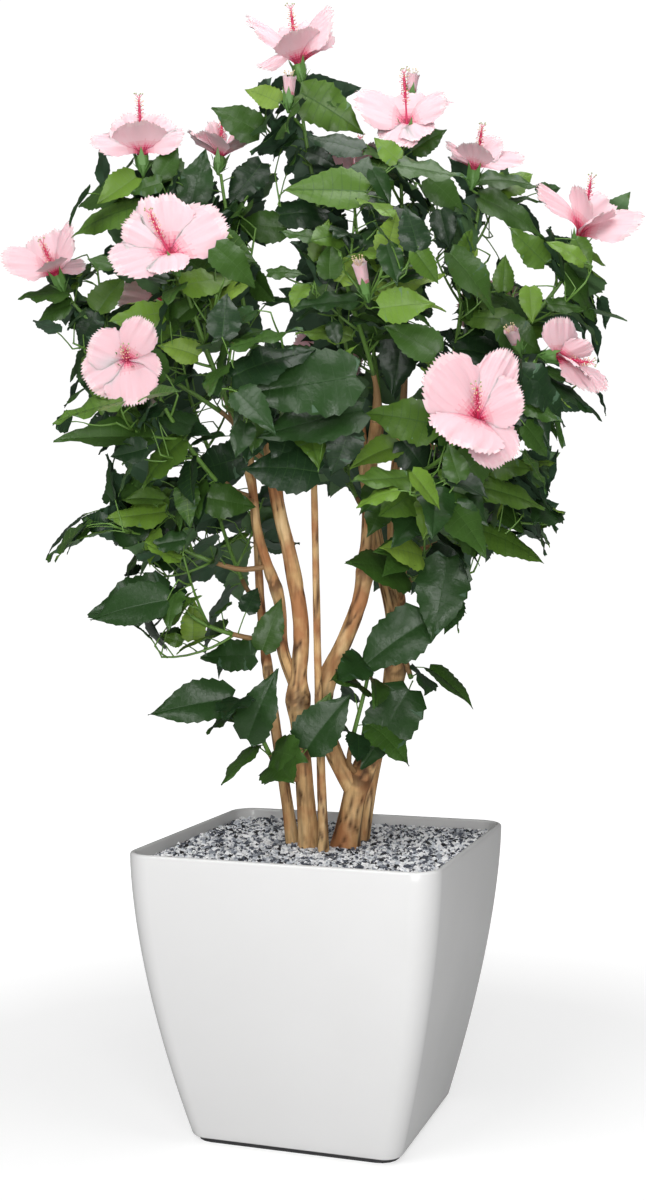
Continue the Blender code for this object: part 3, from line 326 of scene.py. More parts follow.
# Petals of the blooms in view, as picture places: the cup (x, y) with metres nearer than
# the bloom's middle; each petal's tip (x, y, metres nearer), half-width, arch and dish; and
# the column's end.
SHOWN = {
    "foliage_top": Shown((299, 66), 0, [
        (331, 12, 0.005, 0.5, 0.75, 0.1), (298, 30, 0.035, 0.62, 0.6, 0.05),
        (248, 19, 0, 0.26, 0.7, 0.1), (259, 66, 0.02, 0.24, 1.0, 0.1),
        (312, 24, -0.04, 0.52, 0.6, 0.08)], (291, 10, 0)),
    "foliage_top_right": Shown((407, 127), 0.015, [
        (357, 97, 0.01, 0.5, 0.3, 0.1), (444, 96, 0.01, 0.42, 0.4, 0.12),
        (425, 136, 0.045, 0.62, 0.5, 0.02), (391, 143, 0.05, 0.55, 0.45, 0.04),
        (402, 94, -0.05, 0.62, 0.4, 0.05)], (404, 74, 0.01)),
    "foliage_top_left": Shown((220, 160), 0, [
        (189, 131, 0, 0.42, 0.6, 0.08), (213, 122, -0.035, 0.55, 0.55, 0.05),
        (240, 126, -0.03, 0.4, 0.55, 0.1), (247, 135, 0.01, 0.4, 0.6, 0.08),
        (206, 132, 0.03, 0.62, 0.6, 0.1)], (222, 118, -0.03)),
    "foliage_left_upper": Shown((142, 157), 0, [
        (92, 141, 0.012, 0.4, 0.55, 0.06), (118, 119, -0.02, 0.48, 0.6, 0.06),
        (163, 117, -0.035, 0.52, 0.55, 0.06), (183, 133, 0, 0.4, 0.6, 0.12),
        (138, 122, 0.03, 0.66, 0.6, 0.1)], (139, 99, 0)),
    "foliage_left_front": Shown((171, 257), 0.01, [
        (156, 196, -0.015, 0.42, 0.35, 0.1), (220, 214, 0, 0.52, 0.35, 0.08),
        (124, 226, 0, 0.42, 0.35, 0.1), (112, 264, 0.03, 0.42, 0.4, 0.08),
        (167, 272, 0.045, 0.6, 0.55, 0.02)], (151, 214, 0.025)),
    "foliage_far_left": Shown((57, 276), 0, [
        (3, 259, 0.01, 0.42, 0.55, 0.1), (71, 226, 0.01, 0.36, 0.5, 0.1),
        (84, 262, -0.01, 0.38, 0.6, 0.1), (40, 236, -0.04, 0.45, 0.5, 0.06),
        (50, 262, 0.04, 0.5, 0.6, 0.02)], (43, 244, 0.012)),
    "foliage_left_lower": Shown((127, 360), -0.005, [
        (146, 320, 0.01, 0.4, 0.2, 0.05), (90, 343, 0.005, 0.52, 0.2, 0.05),
        (88, 384, 0.005, 0.5, 0.2, 0.04), (134, 404, 0.01, 0.5, 0.2, 0.04),
        (157, 378, 0, 0.48, 0.2, 0.05)], (125, 349, 0.035)),
    "foliage_right_upper": Shown((474, 172), 0, [
        (523, 158, 0.01, 0.34, 0.6, 0.08), (500, 140, -0.015, 0.4, 0.6, 0.06),
        (447, 143, 0.005, 0.26, 0.65, 0.1), (476, 144, 0.03, 0.56, 0.6, 0.1),
        (462, 150, -0.04, 0.4, 0.6, 0.06)], (482, 128, 0)),
    "foliage_far_right": Shown((579, 238), 0, [
        (538, 187, 0.01, 0.26, 0.8, 0.1), (583, 190, 0.02, 0.4, 0.75, 0.08),
        (641, 220, 0.015, 0.44, 0.45, 0.06), (606, 212, 0.032, 0.52, 0.6, 0.1),
        (606, 198, -0.035, 0.5, 0.6, 0.06)], (591, 180, 0)),
    "foliage_right_side": Shown((556, 356), 0, [
        (561, 318, 0.01, 0.5, 0.4, 0.08), (590, 343, 0.005, 0.34, 0.55, 0.12),
        (584, 372, 0.035, 0.42, 0.55, 0.06), (599, 391, 0.015, 0.36, 0.5, 0.08),
        (580, 352, -0.04, 0.5, 0.5, 0.06)], (590, 362, 0.015)),
    "foliage_right_lower": Shown((478, 420), -0.01, [
        (432, 366, 0.01, 0.42, 0.2, 0.06), (509, 352, 0, 0.26, 0.25, 0.08),
        (521, 392, 0.012, 0.44, 0.25, 0.06), (459, 445, 0.04, 0.62, 0.4, 0.02),
        (506, 462, 0.015, 0.42, 0.25, 0.08)], (477, 388, 0.038)),
}

# Leaves in view, as picture places: where the blade starts (x, y), its tip (x, y), its
# half-width to its length as seen, and its tone as seen, which holds painted shade on shaded
# leaves and painted light on lit ones as well as the leaf's own colour.
SHOWN_LEAVES = [
    (279, 103, 246, 84, 0.45, "young"), (260, 133, 214, 101, 0.42, "full"),
    (301, 93, 366, 128, 0.36, "mid"), (330, 104, 343, 88, 0.4, "full"),
    (362, 150, 306, 133, 0.25, "deep"), (307, 152, 339, 160, 0.3, "deep"),
    (366, 192, 283, 184, 0.3, "mid"), (287, 228, 231, 222, 0.38, "full"),
    (191, 204, 205, 148, 0.42, "dark"), (262, 163, 228, 207, 0.35, "deep"),
    (183, 286, 235, 270, 0.28, "fresh"), (215, 247, 259, 281, 0.28, "full"),
    (268, 273, 305, 266, 0.2, "full"), (340, 282, 362, 246, 0.4, "young"),
    (330, 278, 328, 240, 0.3, "full"), (418, 250, 408, 202, 0.45, "deep"),
    (386, 245, 400, 283, 0.4, "dark"), (414, 250, 440, 284, 0.26, "mid"),
    (380, 308, 435, 300, 0.36, "fresh"), (398, 160, 373, 137, 0.34, "fresh"),
    (398, 165, 467, 176, 0.2, "full"), (412, 151, 446, 126, 0.38, "full"),
    (280, 215, 340, 205, 0.26, "deep"), (372, 170, 392, 205, 0.28, "dark"),
    (356, 376, 240, 395, 0.31, "dark"), (362, 410, 254, 430, 0.24, "dark"),
    (350, 425, 336, 478, 0.42, "deep"), (243, 457, 185, 474, 0.36, "deep"),
    (318, 472, 240, 458, 0.28, "deep"),
    (204, 497, 258, 506, 0.36, "full"), (438, 426, 367, 405, 0.3, "mid"),
    (402, 330, 396, 397, 0.34, "deep"), (436, 354, 388, 317, 0.3, "full"),
    (352, 337, 298, 320, 0.18, "fresh"), (332, 322, 340, 348, 0.4, "dark"),
    (232, 347, 303, 327, 0.13, "full"), (232, 377, 310, 336, 0.22, "deep"),
    (356, 301, 290, 302, 0.18, "dark"), (222, 337, 228, 288, 0.36, "deep"),
    (198, 356, 159, 340, 0.45, "young"), (402, 440, 438, 481, 0.38, "deep"),
    (412, 472, 443, 509, 0.22, "fresh"), (140, 206, 66, 221, 0.24, "mid"),
    (136, 177, 98, 204, 0.26, "fresh"), (161, 183, 128, 191, 0.3, "full"),
    (160, 176, 176, 142, 0.34, "full"), (113, 266, 87, 257, 0.3, "full"),
    (98, 311, 122, 272, 0.3, "mid"), (69, 293, 17, 286, 0.2, "full"),
    (70, 304, 33, 316, 0.28, "full"), (95, 312, 80, 349, 0.42, "deep"),
    (165, 312, 107, 322, 0.28, "fresh"), (166, 281, 122, 267, 0.2, "dark"),
    (178, 319, 206, 292, 0.3, "full"), (122, 402, 50, 415, 0.15, "mid"),
    (151, 438, 53, 431, 0.2, "full"), (147, 448, 110, 459, 0.38, "deep"),
    (183, 440, 134, 478, 0.24, "mid"), (165, 512, 104, 519, 0.24, "fresh"),
    (163, 500, 119, 492, 0.24, "mid"), (196, 426, 152, 415, 0.28, "dark"),
    (478, 181, 540, 172, 0.2, "full"), (480, 197, 553, 229, 0.26, "full"),
    (428, 178, 468, 208, 0.3, "full"), (545, 263, 508, 227, 0.36, "mid"),
    (584, 263, 551, 235, 0.28, "fresh"), (576, 240, 592, 268, 0.36, "mid"),
    (563, 268, 605, 316, 0.19, "full"), (548, 304, 587, 304, 0.24, "full"),
    (503, 291, 505, 254, 0.48, "mid"), (530, 287, 532, 323, 0.44, "fresh"),
    (520, 323, 455, 305, 0.2, "mid"), (500, 325, 545, 353, 0.32, "full"),
    (455, 349, 526, 352, 0.26, "deep"), (450, 253, 502, 307, 0.2, "full"),
    (440, 210, 449, 250, 0.38, "deep"), (520, 371, 577, 415, 0.24, "deep"),
    (519, 386, 554, 446, 0.28, "deep"), (522, 402, 563, 421, 0.26, "full"),
    (525, 425, 553, 456, 0.28, "full"), (490, 470, 533, 460, 0.28, "mid"),
    (482, 488, 550, 500, 0.24, "mid"), (478, 530, 549, 548, 0.18, "mid"),
    (460, 480, 446, 442, 0.34, "full"), (498, 508, 528, 528, 0.26, "full"),
    (452, 545, 425, 585, 0.36, "deep"), (440, 575, 458, 610, 0.32, "dark"),
    (309, 748, 331, 693, 0.36, "mid"), (167, 600, 86, 612, 0.3, "dark"),
    (193, 640, 193, 598, 0.26, "young"), (182, 642, 160, 636, 0.36, "mid"),
    (255, 655, 200, 655, 0.28, "dark"), (262, 650, 282, 600, 0.3, "full"),
    (246, 612, 258, 585, 0.34, "deep"), (185, 540, 145, 545, 0.26, "dark"),
    (180, 560, 142, 541, 0.16, "fresh"),
]
# Sky that shows through the crown and round it, as picture circles (x, y, radius).
SKY = [
    (281, 163, 6), (277, 196, 9), (313, 122, 7), (325, 145, 4), (334, 154, 4), (398, 196, 9),
    (428, 180, 7), (256, 252, 6), (288, 256, 11), (356, 224, 9), (284, 281, 9), (299, 229, 4),
    (247, 313, 7), (276, 318, 9), (292, 340, 7), (236, 352, 6), (206, 362, 9), (212, 414, 13),
    (245, 486, 4), (300, 520, 9), (331, 512, 12), (434, 258, 6), (447, 298, 11), (440, 320, 8),
    (497, 237, 17), (483, 270, 9), (548, 282, 10), (452, 185, 5), (530, 418, 7), (92, 240, 12),
    (90, 288, 7), (133, 293, 8), (156, 288, 5), (60, 350, 16), (40, 380, 30), (60, 480, 42),
    (90, 560, 20), (60, 640, 40), (120, 660, 26), (150, 580, 10), (240, 545, 6), (215, 590, 8),
    (305, 565, 6), (332, 590, 13), (335, 630, 9), (400, 520, 5), (600, 480, 44), (600, 560, 50),
    (540, 640, 50), (500, 600, 24), (480, 660, 24), (620, 400, 14), (590, 440, 16),
    (60, 130, 34), (60, 190, 20), (110, 80, 26), (190, 70, 34), (220, 40, 30), (350, 60, 22),
    (345, 110, 4), (470, 90, 24), (540, 110, 34), (560, 160, 16), (620, 150, 22), (20, 200, 20),
    (10, 318, 12), (12, 345, 20), (635, 290, 28), (640, 350, 30), (612, 340, 8), (626, 258, 12),
    (520, 592, 36), (506, 572, 18), (476, 604, 10), (130, 650, 22), (155, 668, 20),
    (186, 668, 9), (112, 562, 16), (20, 240, 8), (5, 220, 14), (60, 220, 7),
    (440, 560, 5), (170, 520, 5), (230, 520, 5), (180, 700, 14), (230, 690, 6), (440, 720, 22),
]

# Which masses share one piece of leaves, of twigs and of blooms.
GROUPS = {
    "top": ["foliage_top", "foliage_top_right", "foliage_top_left", "foliage_back_top"],
    "left": ["foliage_left_upper", "foliage_left_front", "foliage_far_left",
             "foliage_left_lower", "foliage_low_left"],
    "right": ["foliage_right_upper", "foliage_far_right", "foliage_right_side",
              "foliage_right_lower", "foliage_low_right"],
    "front": ["foliage_front_upper", "foliage_front_centre", "foliage_low_front",
              "spray_left", "spray_left_low", "spray_centre", "spray_right"],
    "back": ["foliage_back_left", "foliage_back_right", "foliage_back_centre",
             "foliage_back_low_left", "foliage_back_low_right"],
}

# ---------------------------------------------------------------- colours
# Linear base colours with roughness, as (red, green, blue, roughness).
# Leaf tones: the young and fresh ones are the leaves' own colour; the deep and dark ones stand
# partly for painted shade inside the crown and on shaded leaves in view.
LEAF_TOPS = {
    "leaf_deep": (0.013, 0.036, 0.012, 0.34),
    "leaf_dark": (0.02, 0.055, 0.013, 0.34),
    "leaf_full": (0.038, 0.092, 0.014, 0.36),
    "leaf_mid": (0.076, 0.156, 0.02, 0.38),
    "leaf_fresh": (0.132, 0.244, 0.028, 0.4),
    "leaf_young": (0.19, 0.31, 0.04, 0.48),
}
LEAF_SHARE = [5, 7, 7, 5, 3, 1]
LEAF_VEINS = {
    "vein_dark": (0.026, 0.066, 0.018, 0.45),
    "vein_mid": (0.058, 0.125, 0.026, 0.45),
    "vein_light": (0.14, 0.235, 0.055, 0.48),
}
LEAF_BACKS = {
    "back_dark": (0.045, 0.1, 0.05, 0.6),
    "back_light": (0.11, 0.21, 0.085, 0.6),
}
TWIG_COLOURS = {
    "twig_green": (0.13, 0.26, 0.045, 0.45),
    "twig_brown": (0.33, 0.19, 0.08, 0.6),
    "calyx_green": (0.12, 0.26, 0.06, 0.5),
}
PETAL_COLOURS = {
    "petal_throat": (0.42, 0.01, 0.06, 0.5),
    "petal_deep": (0.7, 0.11, 0.21, 0.52),
    "petal_rose": (0.71, 0.27, 0.335, 0.55),
    "petal_blush": (0.74, 0.4, 0.45, 0.58),
    "petal_pale": (0.77, 0.51, 0.555, 0.6),
    "petal_edge": (0.79, 0.575, 0.6, 0.6),
}
COLUMN_COLOURS = {
    "column_red": (0.6, 0.03, 0.11, 0.45),
    "column_pink": (0.8, 0.24, 0.33, 0.5),
    "anther_cream": (0.88, 0.7, 0.42, 0.6),
    "stigma": (0.42, 0.46, 0.2, 0.55),
}
CHIP_COLOURS = {
    "chip_white": (0.95, 0.95, 0.96, 0.6),
    "chip_light": (0.64, 0.665, 0.71, 0.62),
    "chip_mid": (0.3, 0.32, 0.355, 0.64),
    "chip_dark": (0.085, 0.095, 0.12, 0.66),
    "chip_black": (0.018, 0.018, 0.02, 0.6),
}
CHIP_SHARE = [9, 4, 3, 5, 3]
# Near-black of the planter's recessed foot: painted shadow of the gap under the planter.
FOOT_SHADOW_COLOUR = {"foot_dark": (0.03, 0.03, 0.032, 0.55)}
BARK_WOOD = [(0.30, (0.34, 0.175, 0.075)), (0.50, (0.68, 0.43, 0.195)),
             (0.72, (0.88, 0.64, 0.35))]
BARK_RED = (0.43, 0.165, 0.065)
# Near-black mixed in by the crack attribute: painted shade in the bark's cracks, and the dark wood
# of its knots.
BARK_CRACK_SHADE_AND_KNOT = (0.06, 0.026, 0.014)
POT_WHITES = [(0, (0.705, 0.702, 0.699)), (1, (0.735, 0.733, 0.731))]
PETAL_LOOK = {"Subsurface Weight": 0.80, "Subsurface Radius": (1.0, 0.7, 0.75),
              "Subsurface Scale": 0.004, "Sheen Weight": 0.45, "Sheen Roughness": 0.45,
              "Sheen Tint": (1.0, 0.80, 0.86, 1)}
# Colours, their relief as (scale, strength, distance), and what else they share.
FINISHES = [
    ({**LEAF_TOPS, **LEAF_VEINS}, (120, 0.60, 0.0014), {"Specular IOR Level": 0.32}),
    (LEAF_BACKS, (320, 0.35, 0.0005), {}),
    ({**TWIG_COLOURS, **COLUMN_COLOURS}, (400, 0.25, 0.0003), {}),
    (PETAL_COLOURS, (400, 0.25, 0.0003), PETAL_LOOK),
    (CHIP_COLOURS, (900, 0.4, 0.0004), {}),
    (FOOT_SHADOW_COLOUR, (300, 0.3, 0.0003), {}),
]

# ---------------------------------------------------------------- small meshes
CUBE = np.array([[x, y, z] for x in (-1, 1) for y in (-1, 1) for z in (-1, 1)], float)
CUBE_FACES = np.array([[0, 1, 3, 2], [4, 6, 7, 5], [0, 4, 5, 1], [2, 3, 7, 6],
                       [0, 2, 6, 4], [1, 5, 7, 3]])
BEAD = np.array([[1, 0, 0], [-1, 0, 0], [0, 1, 0], [0, -1, 0], [0, 0, 1], [0, 0, -1]], float)
BEAD_FACES = np.array([[0, 2, 4], [2, 1, 4], [1, 3, 4], [3, 0, 4],
                       [2, 0, 5], [1, 2, 5], [3, 1, 5], [0, 3, 5]])


# ---------------------------------------------------------------- the camera's frame
def view_frame():
    """Right, up and back of the camera."""
    right = Vector((math.cos(PLANT_TURN), math.sin(PLANT_TURN), 0))
    level, lift = math.cos(CAMERA_LIFT), math.sin(CAMERA_LIFT)
    back = Vector((math.sin(PLANT_TURN) * level, -math.cos(PLANT_TURN) * level, lift))
    return right, back.cross(right), back


RIGHT, VIEW_UP, BACK = view_frame()
EYE = Vector((0, 0, CAMERA_HEIGHT)) + RIGHT * CAMERA_ASIDE + BACK * CAMERA_FAR


def view_place(x, y, towards):
    """The place seen x, y picture dots from the picture's top left, towards metres nearer
    than the plant's upright axis."""
    away = CAMERA_FAR - towards
    return (EYE - BACK * away + RIGHT * away * (x - VIEW_MIDDLE[0]) / VIEW_LENGTH
            - VIEW_UP * away * (y - VIEW_MIDDLE[1]) / VIEW_LENGTH)


def picture_place(points):
    """Picture places of points, and how far off they are."""
    offset = np.atleast_2d(np.array(points)) - np.array(EYE)
    away = -(offset @ np.array(BACK))
    x = VIEW_MIDDLE[0] + VIEW_LENGTH * (offset @ np.array(RIGHT)) / away
    y = VIEW_MIDDLE[1] - VIEW_LENGTH * (offset @ np.array(VIEW_UP)) / away
    return np.stack([x, y], axis=1), away


def plant_place(place):
    return Matrix.Rotation(PLANT_TURN, 3, "Z") @ Vector(place)


# ---------------------------------------------------------------- materials
def new_material(name):
    mat = bpy.data.materials.new(name)
    mat.use_nodes = True
    return mat, mat.node_tree, mat.node_tree.nodes["Principled BSDF"]


def feed(node, sockets):
    """Sets a node's inputs by name, each to a value or from another node's output."""
    for name, source in sockets.items():
        if isinstance(source, bpy.types.NodeSocket):
            node.id_data.links.new(source, node.inputs[name])
        else:
            node.inputs[name].default_value = source


def add_node(tree, kind, sockets, **settings):
    node = tree.nodes.new("ShaderNode" + kind)
    for name, value in settings.items():
        setattr(node, name, value)
    feed(node, sockets)
    return node


def add_noise(tree, scale, detail, **sockets):
    """A noise in the piece's own coordinates, or in those given as Vector."""
    if "Vector" not in sockets:
        sockets["Vector"] = add_node(tree, "TexCoord", {}).outputs["Object"]
    return add_node(tree, "TexNoise", {"Scale": scale, "Detail": detail, **sockets}).outputs["Fac"]


def add_relief(tree, grain, strength, distance):
    bump = add_node(tree, "Bump", {"Height": grain, "Strength": strength, "Distance": distance})
    return bump.outputs["Normal"]


def add_ramp(tree, part, stops):
    """Colours over a part from 0 to 1; stops are (part, colour), first and last included."""
    ramp = add_node(tree, "ValToRGB", {"Fac": part})
    for place, _ in stops[1:-1]:
        ramp.color_ramp.elements.new(place)
    for element, (place, colour) in zip(ramp.color_ramp.elements, stops):
        element.position, element.color = place, (*colour, 1)
    return ramp.outputs["Color"]


def plain_material(name, colour, bump, look):
    """A material of one base colour. bump is (scale, strength, distance)."""
    mat, tree, shader = new_material(name)
    scale, *relief = bump
    mat.diffuse_color = (*colour[:3], 1)
    feed(shader, {"Base Color": mat.diffuse_color, "Roughness": colour[3],
                  "Normal": add_relief(tree, add_noise(tree, scale, 4), *relief), **look})
    return mat


def bark_material():
    """Dry tan wood with grain, red-brown patches and dark knots, and dark cracks that are painted
    shade.
    """
    mat, tree, shader = new_material("bark")
    place = add_node(tree, "TexCoord", {}).outputs["Object"]
    along = add_node(tree, "Mapping", {"Vector": place, "Scale": (60, 60, 9)})
    grain = add_noise(tree, 1, 6, Roughness=0.65, Vector=along.outputs["Vector"])
    patches = add_node(tree, "MapRange", {"Value": add_noise(tree, 22, 3, Vector=place),
                                          "From Min": 0.44, "From Max": 0.62, "To Max": 0.8})
    red = add_node(tree, "Mix", {"Factor": patches.outputs["Result"],
                                 "A": add_ramp(tree, grain, BARK_WOOD),
                                 "B": (*BARK_RED, 1)}, data_type="RGBA")
    # The crack attribute darkens the wood towards near-black: in the cracks by their depth,
    # painted shade in the recesses, and at the knots, their own dark wood.
    crack = add_node(tree, "Attribute", {}, attribute_name="crack")
    deep = add_node(tree, "Math", {0: crack.outputs["Fac"], 1: 0.95}, operation="MULTIPLY")
    dark = add_node(tree, "Mix", {"Factor": deep.outputs["Value"], "A": red.outputs["Result"],
                                  "B": (*BARK_CRACK_SHADE_AND_KNOT, 1)}, data_type="RGBA")
    feed(shader, {"Base Color": dark.outputs["Result"], "Roughness": 0.72,
                  "Specular IOR Level": 0.25, "Normal": add_relief(tree, grain, 0.5, 0.001)})
    return mat


def pot_material():
    """White high-gloss lacquer with the faintest ripple."""
    mat, tree, shader = new_material("pot_white")
    haze = add_noise(tree, 9, 3)
    rough = add_node(tree, "MapRange", {"Value": haze, "To Min": 0.16, "To Max": 0.24})
    feed(shader, {"Base Color": add_ramp(tree, haze, POT_WHITES),
                  "Roughness": rough.outputs["Result"], "Specular IOR Level": 0.3,
                  "Coat Weight": 0.25, "Coat Roughness": 0.04})
    return mat


def make_materials():
    mats = {name: plain_material(name, colour, bump, look)
            for colours, bump, look in FINISHES for name, colour in colours.items()}
    return {**mats, "bark": bark_material(), "pot_white": pot_material()}


# ---------------------------------------------------------------- many meshes as one
def add_object(name, data):
    obj = bpy.data.objects.new(name, data)
    bpy.context.scene.collection.objects.link(obj)
    return obj


class Soup:
    """Gathers many small meshes into one piece."""

    def __init__(self):
        self.verts, self.faces, self.count = [], [], 0

    def add(self, verts, faces, slots):
        """faces is one array of corners or a list of them; slots is one name of a material
        or one for each array."""
        faces = [faces] if isinstance(faces, np.ndarray) else faces
        slots = [slots] * len(faces) if isinstance(slots, str) else slots
        self.faces += [(rows + self.count, slot) for rows, slot in zip(faces, slots)]
        self.verts.append(np.array(verts, dtype=float))
        self.count += len(verts)

    def build(self, name, mats, smooth=True):
        """Makes the object. mats is a dict of materials by name."""
        names = list(dict.fromkeys(slot for _, slot in self.faces))
        sizes = [len(rows) for rows, _ in self.faces]
        totals = np.repeat([rows.shape[1] for rows, _ in self.faces], sizes)
        loops = np.concatenate([rows.ravel() for rows, _ in self.faces])
        mesh = bpy.data.meshes.new(name)
        mesh.vertices.add(self.count)
        mesh.vertices.foreach_set("co", np.concatenate(self.verts).ravel())
        mesh.loops.add(len(loops))
        mesh.loops.foreach_set("vertex_index", loops)
        mesh.polygons.add(len(totals))
        mesh.polygons.foreach_set("loop_start", np.cumsum(totals) - totals)
        mesh.polygons.foreach_set("material_index", np.repeat(
            [names.index(slot) for _, slot in self.faces], sizes))
        mesh.polygons.foreach_set("use_smooth", np.full(len(totals), smooth))
        mesh.update(calc_edges=True)
        mesh.validate()
        for slot in names:
            mesh.materials.append(mats[slot])
        obj = add_object(name, mesh)
        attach(obj, "root")
        return obj


def grid_faces(rows, columns, wrap=False):
    """Quads between rows of corners, closed round where wrap is set."""
    across = np.arange(columns if wrap else columns - 1)
    beside = (across + 1) % columns
    low = (np.arange(rows - 1) * columns)[:, None]
    quads = np.stack([low + across, low + beside, low + columns + beside,
                      low + columns + across], axis=-1)
    return quads.reshape(-1, 4)


def tube_faces(rings, sides):
    """Quads of a tube, and triangles to the middles of its two ends, its last corners."""
    here = np.arange(sides)
    following = (here + 1) % sides
    middle, top = np.full(sides, rings * sides), (rings - 1) * sides
    ends = [np.stack([following, here, middle], axis=-1),
            np.stack([top + here, top + following, middle + 1], axis=-1)]
    return [grid_faces(rings, sides, wrap=True), np.vstack(ends)]


# ---------------------------------------------------------------- paths and tubes
def path_lengths(path):
    return [(b - a).length for a, b in zip(path, path[1:])]


def smooth_path(points, step):
    """A curve through all points, with about a step between its own."""
    points = [Vector(point) for point in points]
    padded = [2 * points[0] - points[1]] + points + [2 * points[-1] - points[-2]]
    path = [points[0]]
    for i in range(1, len(padded) - 2):
        p0, p1, p2, p3 = padded[i - 1:i + 3]
        pieces = max(1, round((p2 - p1).length / step))
        for k in range(1, pieces + 1):
            t = k / pieces
            path.append(0.5 * (2 * p1 + (p2 - p0) * t
                               + (2 * p0 - 5 * p1 + 4 * p2 - p3) * t ** 2
                               + (3 * p1 - p0 - 3 * p2 + p3) * t ** 3))
    return path


def bent_path(start, start_way, end, end_way, pieces, pull=1.0):
    """A curve that leaves and arrives by the two ways."""
    span = (end - start).length
    a, b = start_way.normalized() * span * pull, end_way.normalized() * span
    path = []
    for k in range(pieces + 1):
        t = k / pieces
        path.append((2 * t ** 3 - 3 * t ** 2 + 1) * start + (t ** 3 - 2 * t ** 2 + t) * a
                    + (3 * t ** 2 - 2 * t ** 3) * end + (t ** 3 - t ** 2) * b)
    return path


def along_path(path, part):
    """The point at a part of the path's length, and the way there."""
    lengths = path_lengths(path)
    left = part * sum(lengths)
    for i, length in enumerate(lengths):
        if left <= length or i == len(lengths) - 1:
            way = path[i + 1] - path[i]
            return path[i] + way * min(left / length, 1.0), way.normalized()
        left -= length


def trimmed(path, part):
    """The path up to a part of its length."""
    pieces = len(path) - 1
    return [along_path(path, part * k / pieces)[0] for k in range(pieces + 1)]


def spun(axis, turn):
    """A way across the axis, turned about it."""
    return Matrix.Rotation(turn, 3, axis) @ axis.orthogonal().normalized()


def path_frames(path):
    """A side and a rise at each point, turned as little as possible."""
    tangents = [(path[min(i + 1, len(path) - 1)] - path[max(i - 1, 0)]).normalized()
                for i in range(len(path))]
    side = tangents[0].orthogonal().normalized()
    frames = []
    for i, tangent in enumerate(tangents):
        if i:
            side = tangents[i - 1].rotation_difference(tangent) @ side
        side = (side - tangent * side.dot(tangent)).normalized()
        frames.append((side, tangent.cross(side)))
    return frames


def add_tube(soup, path, radii, sides, slot, cap=True):
    """A tapering tube; with cap, a point closes each end."""
    turns = np.arange(sides) * 2 * math.pi / sides
    rings = [np.array(point) + radius * (np.outer(np.cos(turns), side)
                                         + np.outer(np.sin(turns), rise))
             for point, radius, (side, rise) in zip(path, radii, path_frames(path))]
    faces = tube_faces(len(path), sides)
    if cap:
        soup.add(np.vstack([*rings, path[0], path[-1]]), faces, slot)
    else:
        soup.add(np.concatenate(rings), faces[0], slot)


# ---------------------------------------------------------------- limbs
def limb_line(limb, step):
    """Path, radii and lengths so far of a limb, with its taper, root flare and knots."""
    path = smooth_path([plant_place(point) for point in limb.way], step)
    lengths = list(accumulate(path_lengths(path), initial=0.0))
    radii = []
    for length in lengths:
        part = length / lengths[-1]
        radius = limb.thick + (limb.thin - limb.thick) * part
        for place, swell in limb.knots:
            off = (part - place) * lengths[-1] / KNOT_LENGTH
            radius *= 1 + swell * math.exp(-off ** 2)
        if limb.parent is None:
            radius *= 1 + FLARE_SWELL * math.exp(-length / FLARE_HEIGHT)
        radii.append(radius)
    return path, radii, lengths


def bark_relief(angle, length, radius, seed):
    """Relief of the bark to the limb's radius, and how deep in a crack it lies, which also sets
    the painted shade there.
    """
    around = Vector((math.cos(angle) * radius, math.sin(angle) * radius, 0)) * 90
    spot = around + Vector((seed * 7.3, seed * 3.1, length * 14))
    lumps = noise.noise(Vector((spot.x * 0.35, spot.y * 0.35, length * 9 + seed)))
    ridge = noise.noise(Vector((spot.x * 1.4, spot.y * 1.4, spot.z)))
    fine = noise.noise(Vector((spot.x * 3.5, spot.y * 3.5, spot.z * 4.0)))
    crack = max(0.0, 1.0 - abs(ridge) * 5.0) * (0.4 + 0.6 * (lumps > -0.1))
    return 0.10 * lumps + 0.05 * ridge + 0.025 * fine - 0.07 * crack, crack


def knot_relief(angle, length, knot, seed):
    """Relief and darkness that a knot adds; knot is 1 at its middle and 0 far from it."""
    dark = noise.noise(Vector((angle * 1.5, length * 90, seed + 5))) > -0.1
    return 0.16 * knot * noise.noise(Vector((angle * 2, length * 60, seed))), 0.75 * knot * dark


def make_limbs(mats):
    """One barked mesh for all stems and boughs, with the painted shade of its cracks and the dark
    of its knots as a value on its corners.
    """
    soup, crack_shade_and_knots = Soup(), []
    for number, limb in enumerate(LIMBS):
        path, radii, lengths = limb_line(limb, STEM_RING)
        if limb.parent is None:
            path[0] = path[0] - UP * STEM_SINK
        sides = STEM_SIDES if limb.thick > STEM_STOUT else STEM_SIDES // 2
        corners = []
        for point, radius, length, (side, rise) in zip(path, radii, lengths,
                                                       path_frames(path)):
            part = length / lengths[-1]
            knot = sum(math.exp(-((part - place) * lengths[-1] / KNOT_LENGTH * 1.3) ** 2)
                       for place, swell in limb.knots if swell > KNOT_DARK)
            for k in range(sides):
                angle = 2 * math.pi * k / sides
                relief, crack = bark_relief(angle, length, radius, number)
                lump, dark = knot_relief(angle, length, knot, number)
                away = radius * (1 + (relief + lump))
                corners.append(point + away * (math.cos(angle) * side
                                               + math.sin(angle) * rise))
                # The darker of the crack's painted shade and the knot's own dark.
                crack_shade_and_knots.append(max(crack, dark))
        crack_shade_and_knots += [0.0, 0.6]
        soup.add(corners + [path[0], path[-1]], tube_faces(len(path), sides), "bark")
    obj = soup.build("stems_and_boughs", mats)
    shade = obj.data.attributes.new("crack", "FLOAT", "POINT")
    shade.data.foreach_set("value", crack_shade_and_knots)
    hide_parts(*[limb.name for limb in LIMBS])


# ---------------------------------------------------------------- spaces of the masses
class Segments:
    """The straight pieces of many paths."""

    def __init__(self, paths):
        self.starts = np.array([point for path in paths for point in path[:-1]])
        self.ways = np.array([point for path in paths for point in path[1:]]) - self.starts
        self.square = (self.ways ** 2).sum(axis=1)

    def distances(self, points):
        """How far each point, as a row, is from each piece, as a column."""
        offset = points[:, None, :] - self.starts[None]
        part = np.clip((offset * self.ways).sum(axis=2) / self.square, 0, 1)
        return np.linalg.norm(offset - part[..., None] * self.ways, axis=2)


